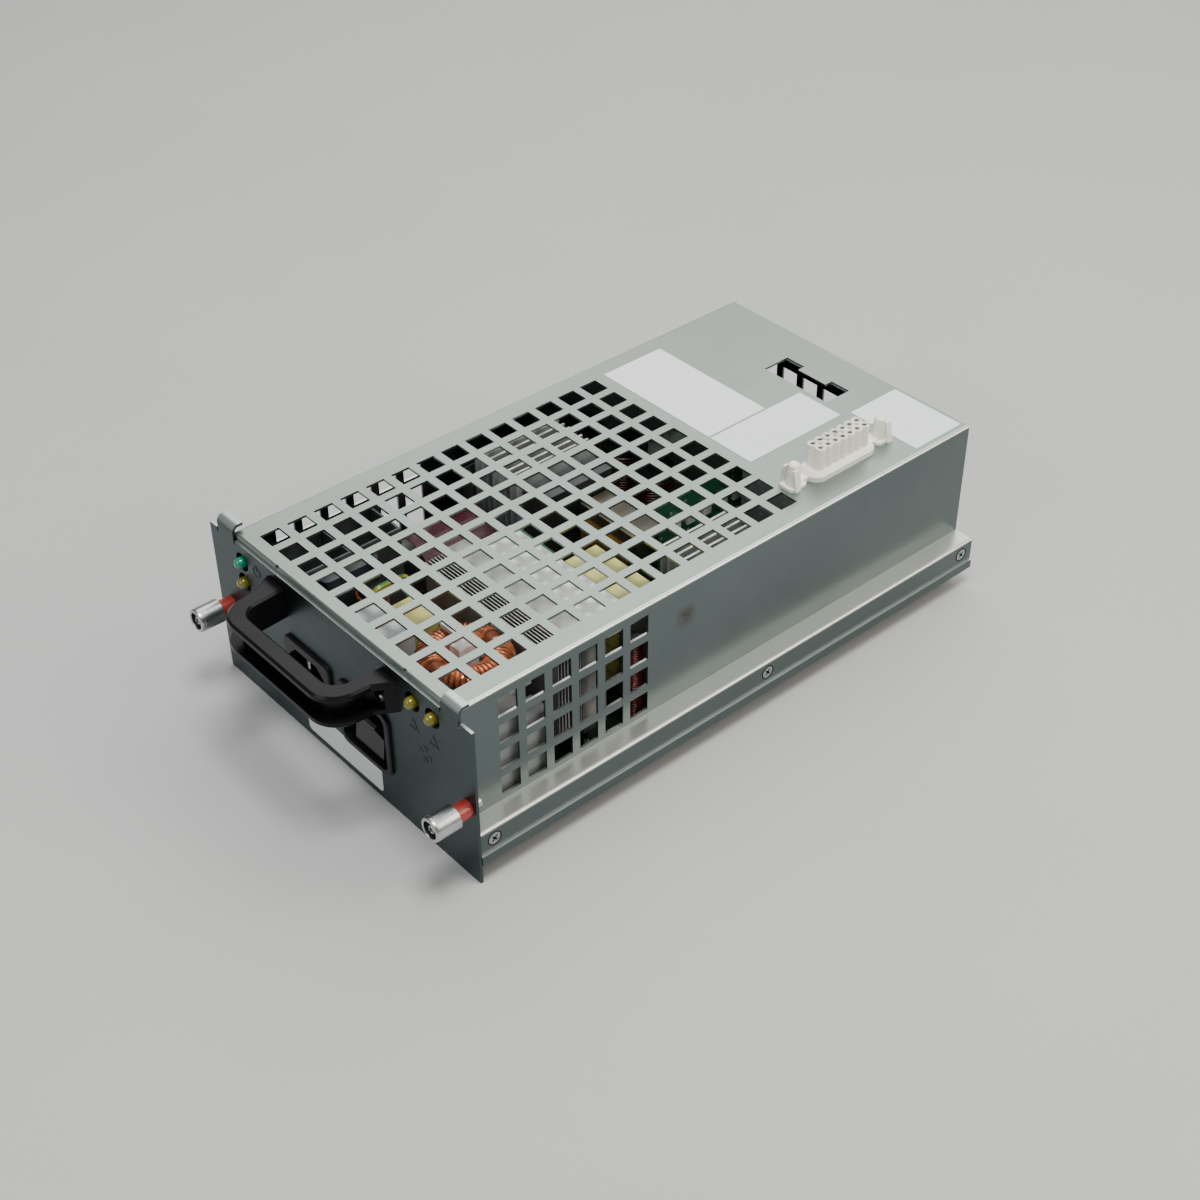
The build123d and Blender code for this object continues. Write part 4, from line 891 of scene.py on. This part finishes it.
@dataclass(frozen=True)
class TurnedKnob:
    """A turned thumbscrew: rimmed cap with a recessed drive, neck, groove and tail.

    Args:
        side: left or right.
        x: X of its axis, millimetres.
        z: Z of its axis.
        blade: the sides of one blade of the cross.
        turns_deg: how the two blades are turned.
    """

    side: str
    x: float
    z: float
    blade: Triple = (2.6, 0.16, 0.5)
    turns_deg: tuple[float, float] = (20.0, 110.0)

    def build(self, palette: Palette) -> None:
        """Turns the screw and lays the dark floor and the cross of its drive, both painted shade.
        """
        body = self.side + "_knob"
        profile = ((0.0, -16.4), (1.5, -16.4), (1.7, -16.2), (1.7, -15.2), (3.6, -15.2),
                   (3.6, -16.9), (3.8, -17.1), (4.4, -17.1), (4.75, -16.9), (5.0, -16.4),
                   (5.0, -15.6), (4.92, -15.5), (4.92, -15.3), (5.0, -15.2), (5.0, -6.4),
                   (4.7, -6.1), (4.1, -6.1), (3.9, -6.3), (3.9, -14.5), (1.75, -14.5), (1.75, 1.3),
                   (1.35, 1.3), (1.35, 2.2), (1.75, 2.2), (1.75, 5.1), (1.45, 5.4), (0.0, 5.4))
        turned = Piece(body + "_turned")
        turned.turned((self.x, 0, self.z), (0, 1, 0), profile, 48)
        turned.finish(palette, "knob_metal", body, "knob_metal", (body,))
        # Painted shade: a dark annulus on the recess floor and a dark cross stand in for the shade
        # in the drive.
        drive = Piece(body + "_drive")
        floor = ((1.75, -15.25), (3.55, -15.25), (3.55, -15.35), (1.75, -15.35), (1.75, -15.25))
        drive.turned((self.x, 0, self.z), (0, 1, 0), floor, 40)
        for turn in self.turns_deg:
            drive.bar((self.x, -16.4, self.z), self.blade, "Y", turn)
        drive.finish(palette, "recess_painted_shade", body, "holder_black", smooth=False)


@dataclass(frozen=True)
class RoundSilos:
    """The round sockets of the top connector, two rows of seven.

    Args:
        x: X of the connector's middle, millimetres.
        y: Y of its middle.
        pitch: between neighbouring sockets.
        foot: Z of their foot.
        top: Z of their mouth.
        radius: outer radius.
        bore: radius of the bore.
        shade: how deep the dark disc lies in the bore.
        reach: sockets to each side of the middle one in a row.
    """

    x: float = 51.2
    y: float = 208.6
    pitch: float = 4.2
    foot: float = 70.4
    top: float = 80.5
    radius: float = 2.2
    bore: float = 1.05
    shade: float = 0.5
    reach: int = 3

    def build(self, palette: Palette) -> None:
        """Turns each socket around its cavity."""
        top, bore, radius, floor = self.top, self.bore, self.radius, self.foot + 0.6
        profile = ((0.0, self.foot), (radius, self.foot), (radius, top - 0.35), (radius - 0.3, top),
                   (bore + 0.15, top), (bore, top - 0.2), (bore, floor), (0.0, floor))
        disc, face, back = bore - 0.02, top - self.shade, top - self.shade - 0.2
        inside = ((0.0, face), (disc, face), (disc, back), (0.0, back))
        made = Piece("connector_silos")
        bores = Piece("connector_bores")
        for side in (-1, 1):
            for k in range(-self.reach, self.reach + 1):
                centre = (self.x + side * self.pitch / 2, self.y + k * self.pitch, 0)
                made.turned(centre, (0, 0, 1), profile, 28)
                bores.turned(centre, (0, 0, 1), inside, 20)
        made.finish(palette, "socket_white", "chassis", "socket_white")
        bores.finish(palette, "contact_shadow", "chassis", "contact_metal")


@dataclass(frozen=True)
class FinSink:
    """The dark heatsink with thin fins across the case, a thick foot and a floor between them.

    Args:
        count: number of fins.
        thick: thickness of one fin, millimetres.
        seat: Z of the underside of the floor between the fins.
        floor: Z of that floor.
        lap: how deep the pieces are let into each other.
    """

    count: int = 8
    thick: float = 0.55
    seat: float = 18.0
    floor: float = 22.0
    lap: float = 0.2

    def build(self, palette: Palette) -> None:
        """Stands the fins between the node's own limits."""
        low, high = (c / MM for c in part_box("fin_heatsink"))
        made = Piece("fin_sink")
        made.block((low.x + 3, low.y + 2, low.z),
                   (high.x - 10, high.y - 2, self.seat + self.lap), 0.2)
        made.block((low.x, low.y, self.seat), (high.x, high.y, self.floor), 0.3)
        pitch = (high.y - low.y - self.thick) / (self.count - 1)
        for k in range(self.count):
            at = low.y + k * pitch
            made.block((low.x, at, self.floor - self.lap), (high.x, at + self.thick, high.z), 0.12)
        made.finish(palette, "fin_dark", "chassis", "fin_dark", ("fin_heatsink",), smooth=False)


@dataclass(frozen=True)
class FlatSink:
    """The grey heatsink with a plain brushed top, as its vents show it.

    Args:
        seat: Z of the body's underside, millimetres.
        lap: how deep the foot is let into the body.
    """

    seat: float = 16.0
    lap: float = 0.4

    def build(self, palette: Palette) -> None:
        """Builds the body and its foot from the node's own box."""
        low, high = (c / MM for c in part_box("flat_heatsink"))
        made = Piece("flat_sink")
        made.block((low.x, low.y, self.seat), tuple(high), 0.4)
        made.block((low.x + 5, low.y + 0.2, low.z),
                   (high.x - 10, high.y - 0.2, self.seat + self.lap), 0.2)
        made.finish(palette, "fin_grey", "chassis", "fin_grey", ("flat_heatsink",), smooth=False)


@dataclass(frozen=True)
class ScrewRecessShade:
    """Painted shade: dark floors in the skirt screws' cross recesses, and a dark ring of painted
    shadow round each head.

    Args:
        rows: Y of the screws, millimetres.
        height: their Z.
        face: X of the skirt's outer face.
        head: radius of the head.
        rim: radius of the painted shadow ring's wire.
        blade: the sides of one blade of the cross.
    """

    rows: tuple[float, ...] = (7.7, 145.7, 262.0)
    height: float = 9.2
    face: float = 79.0
    head: float = 2.8
    rim: float = 0.26
    blade: Triple = (0.3, 2.96, 0.68)

    def build(self, palette: Palette) -> None:
        """Lays a painted-shade cross and a painted-shadow ring at each of the six screws."""
        made = Piece("screw_recess_shade")
        for side in (-1, 1):
            for y in self.rows:
                made.ring((side * (self.face - 0.04), y, self.height), (1, 0, 0), self.head + 0.1,
                          self.rim, steps=28)
                for turn in (45, 135):
                    made.bar((side * (self.face - 0.55), y, self.height), self.blade, "X", turn)
        made.finish(palette, "recess_painted_shade", "chassis", "holder_black", smooth=False)


@dataclass(frozen=True)
class BoardParts:
    """Small parts that stand on the circuit boards, away from the named pieces.

    Args:
        floor: Z of the main board's top, millimetres.
        cans: X, Y, radius and height of each upright can.
        side_chips: lowest corner of each chip on the upright board.
        side_size: their three sides.
        front_chips: lowest corner of each chip on the board that faces the front.
        front_size: their three sides.
    """

    floor: float = 7.6
    cans: tuple[tuple[float, float, float, float], ...] = (
        (44, 176, 6.0, 24), (58, 176, 6.0, 24), (44, 192, 5.0, 20),
        (-8, 172, 5.0, 22), (6, 166, 5.0, 22), (-6, 188, 4.0, 16))
    side_chips: tuple[Triple, ...] = tuple((21.0, y, z) for y in (146, 154, 163, 172, 180)
                                           for z in (34, 46))
    side_size: Triple = (1.6, 4.6, 7.0)
    front_chips: tuple[Triple, ...] = ((-7.5, 92.0, 40.0), (-0.5, 92.0, 40.0), (6.5, 92.0, 40.0))
    front_size: Triple = (5.0, 1.4, 10.0)

    def build(self, palette: Palette) -> None:
        """Stands cans and chips on the boards."""
        cans = Piece("small_capacitors")
        for x, y, radius, height in self.cans:
            cans.drum((x, y, self.floor), radius, height, 0.6)
        cans.finish(palette, "film_dark", "chassis", "film_blue")
        chips = Piece("board_chips")
        for lows, size in ((self.side_chips, self.side_size), (self.front_chips, self.front_size)):
            for low in lows:
                chips.block(low, tuple(a + b for a, b in zip(low, size)), 0.3)
        chips.finish(palette, "white_moulding", "chassis", "moulded_white", smooth=False)


@dataclass(frozen=True)
class Studio:
    """Floor, lights and camera.

    Args:
        eye: the camera's place, metres.
        right: the camera's own X axis.
        up: its Y axis.
        back: its Z axis.
        lens: focal length for a 36 mm sensor.
        lights: name, place, side in metres, watts and tint of each soft light.
        aim: the point that the lights face.
        sky: colour of the room's own light.
        sky_strength: how strong it is.
        floor_reach: from the floor's middle to its sides, metres.
    """

    eye: Triple = (0.4706, -0.2809, 0.4990)
    right: Triple = (0.6583, 0.75273, -0.0060)
    up: Triple = (-0.46252, 0.41076, 0.78572)
    back: Triple = (0.59390, -0.51446, 0.61856)
    lens: float = 57.34
    lights: tuple[tuple[str, Triple, float, float, Triple], ...] = (
        ("key", (-0.70, 0.90, 1.30), 1.4, 17.0, (1.0, 0.99, 0.97)),
        ("above", (0.30, 0.02, 1.45), 0.5, 20.0, (1.0, 1.0, 0.99)),
        ("side", (1.08, 1.00, 1.02), 1.1, 17.0, (1.0, 0.94, 0.84)),
        ("front", (-0.1, -1.2, 0.95), 0.7, 5.0, (0.98, 0.99, 1.0)))
    aim: Triple = (0.0, 0.13, 0.04)
    sky: Triple = (0.80, 0.84, 0.86)
    sky_strength: float = 0.34
    floor_reach: float = 6.0

    def build(self, palette: Palette, floor_z: float) -> None:
        """Adds the floor, the soft lights and the camera.

        Args:
            palette: the finishes.
            floor_z: the height of the floor, metres.
        """
        self._lay_floor(palette, floor_z)
        for light in self.lights:
            self._light(*light)
        world = bpy.data.worlds.new("studio")
        world.use_nodes = True
        background = world.node_tree.nodes["Background"]
        background.inputs["Color"].default_value = (*self.sky, 1.0)
        background.inputs["Strength"].default_value = self.sky_strength
        bpy.context.scene.world = world
        lens = bpy.data.cameras.new("camera")
        lens.lens = self.lens
        lens.sensor_width = 36.0
        lens.clip_start = 0.01
        camera = bpy.data.objects.new("camera", lens)
        turn = Matrix((self.right, self.up, self.back)).transposed()
        camera.matrix_world = Matrix.Translation(self.eye) @ turn.to_4x4()
        bpy.context.scene.collection.objects.link(camera)
        bpy.context.scene.camera = camera

    def _lay_floor(self, palette: Palette, floor_z: float) -> None:
        """Lays the plain pale floor.

        Args:
            palette: the finishes.
            floor_z: its height, metres.
        """
        mesh = bmesh.new()
        bmesh.ops.create_grid(mesh, x_segments=2, y_segments=2, size=self.floor_reach,
                              matrix=Matrix.Translation((0, 0, floor_z)))
        data = bpy.data.meshes.new("studio_floor")
        mesh.to_mesh(data)
        mesh.free()
        floor = bpy.data.objects.new("studio_floor", data)
        bpy.context.scene.collection.objects.link(floor)
        palette.dress(floor, "studio_floor")
        floor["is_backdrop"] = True

    def _light(self, name: str, place: Triple, size: float, power: float, tint: Triple) -> None:
        """Adds a square soft light aimed at the object.

        Args:
            name: its name.
            place: where it stands, metres.
            size: its side, metres.
            power: watts.
            tint: its colour.
        """
        lamp = bpy.data.lights.new(name, "AREA")
        lamp.size = size
        lamp.energy = power
        lamp.color = tint
        obj = bpy.data.objects.new(name, lamp)
        turn = (Vector(self.aim) - Vector(place)).to_track_quat("-Z", "Y")
        obj.matrix_world = Matrix.Translation(place) @ turn.to_matrix().to_4x4()
        bpy.context.scene.collection.objects.link(obj)


SIDE_COIL_PLACES = ((60.4, 91.0, 4.2, 46.0),)
BROWN_COIL_PLACES = ((-54.0, 188.0, 11.0, 34.0), (-31.0, 184.0, 11.0, 34.0))
SLIM_COIL_PLACES = ((-30.5, 36.0, 6.5, 44.0),)
GREEN_LAMP_PLACES = ((-63.9, 56.1),)
YELLOW_LAMP_PLACES = ((-64.0, 46.4), (45.2, 56.2), (56.8, 56.2))


def main() -> None:
    """Loads the frame, dresses every node, adds the detailed pieces and sets the studio."""
    logging.basicConfig(level=logging.INFO, format="%(name)s %(message)s")
    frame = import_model()
    cad_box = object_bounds()
    palette = Palette()
    for node, finish in NODE_FINISH.items():
        palette.dress(frame["nodes"][node], finish)
    builders = (
        RingChoke(),
        StackedCoil("side_coil", "side_coil", SIDE_COIL_PLACES, 0.55, "red_enamel", "copper_wire"),
        StackedCoil("brown_coils", "brown_coils", BROWN_COIL_PLACES, 0.65, "brown_enamel",
                    "coil_brown"),
        StackedCoil("slim_coil", "brown_coils", SLIM_COIL_PLACES, 0.65, "copper_enamel",
                    "coil_brown", alone=False),
        RoundLamp("green_lamp", GREEN_LAMP_PLACES, "lamp_green", "lens_green", "lens_green"),
        RoundLamp("yellow_lamps", YELLOW_LAMP_PLACES, "lamps_yellow", "lens_yellow", "lens_yellow"),
        TurnedKnob("left", -77.0, 28.0),
        TurnedKnob("right", 74.6, 26.0),
        RoundSilos(),
        FinSink(),
        FlatSink(),
        ScrewRecessShade(),
        BoardParts(),
    )
    for builder in builders:
        builder.build(palette)
        LOG.info("built %s", type(builder).__name__)
    Studio().build(palette, cad_box[0].z)


if __name__ == "__main__":
    main()
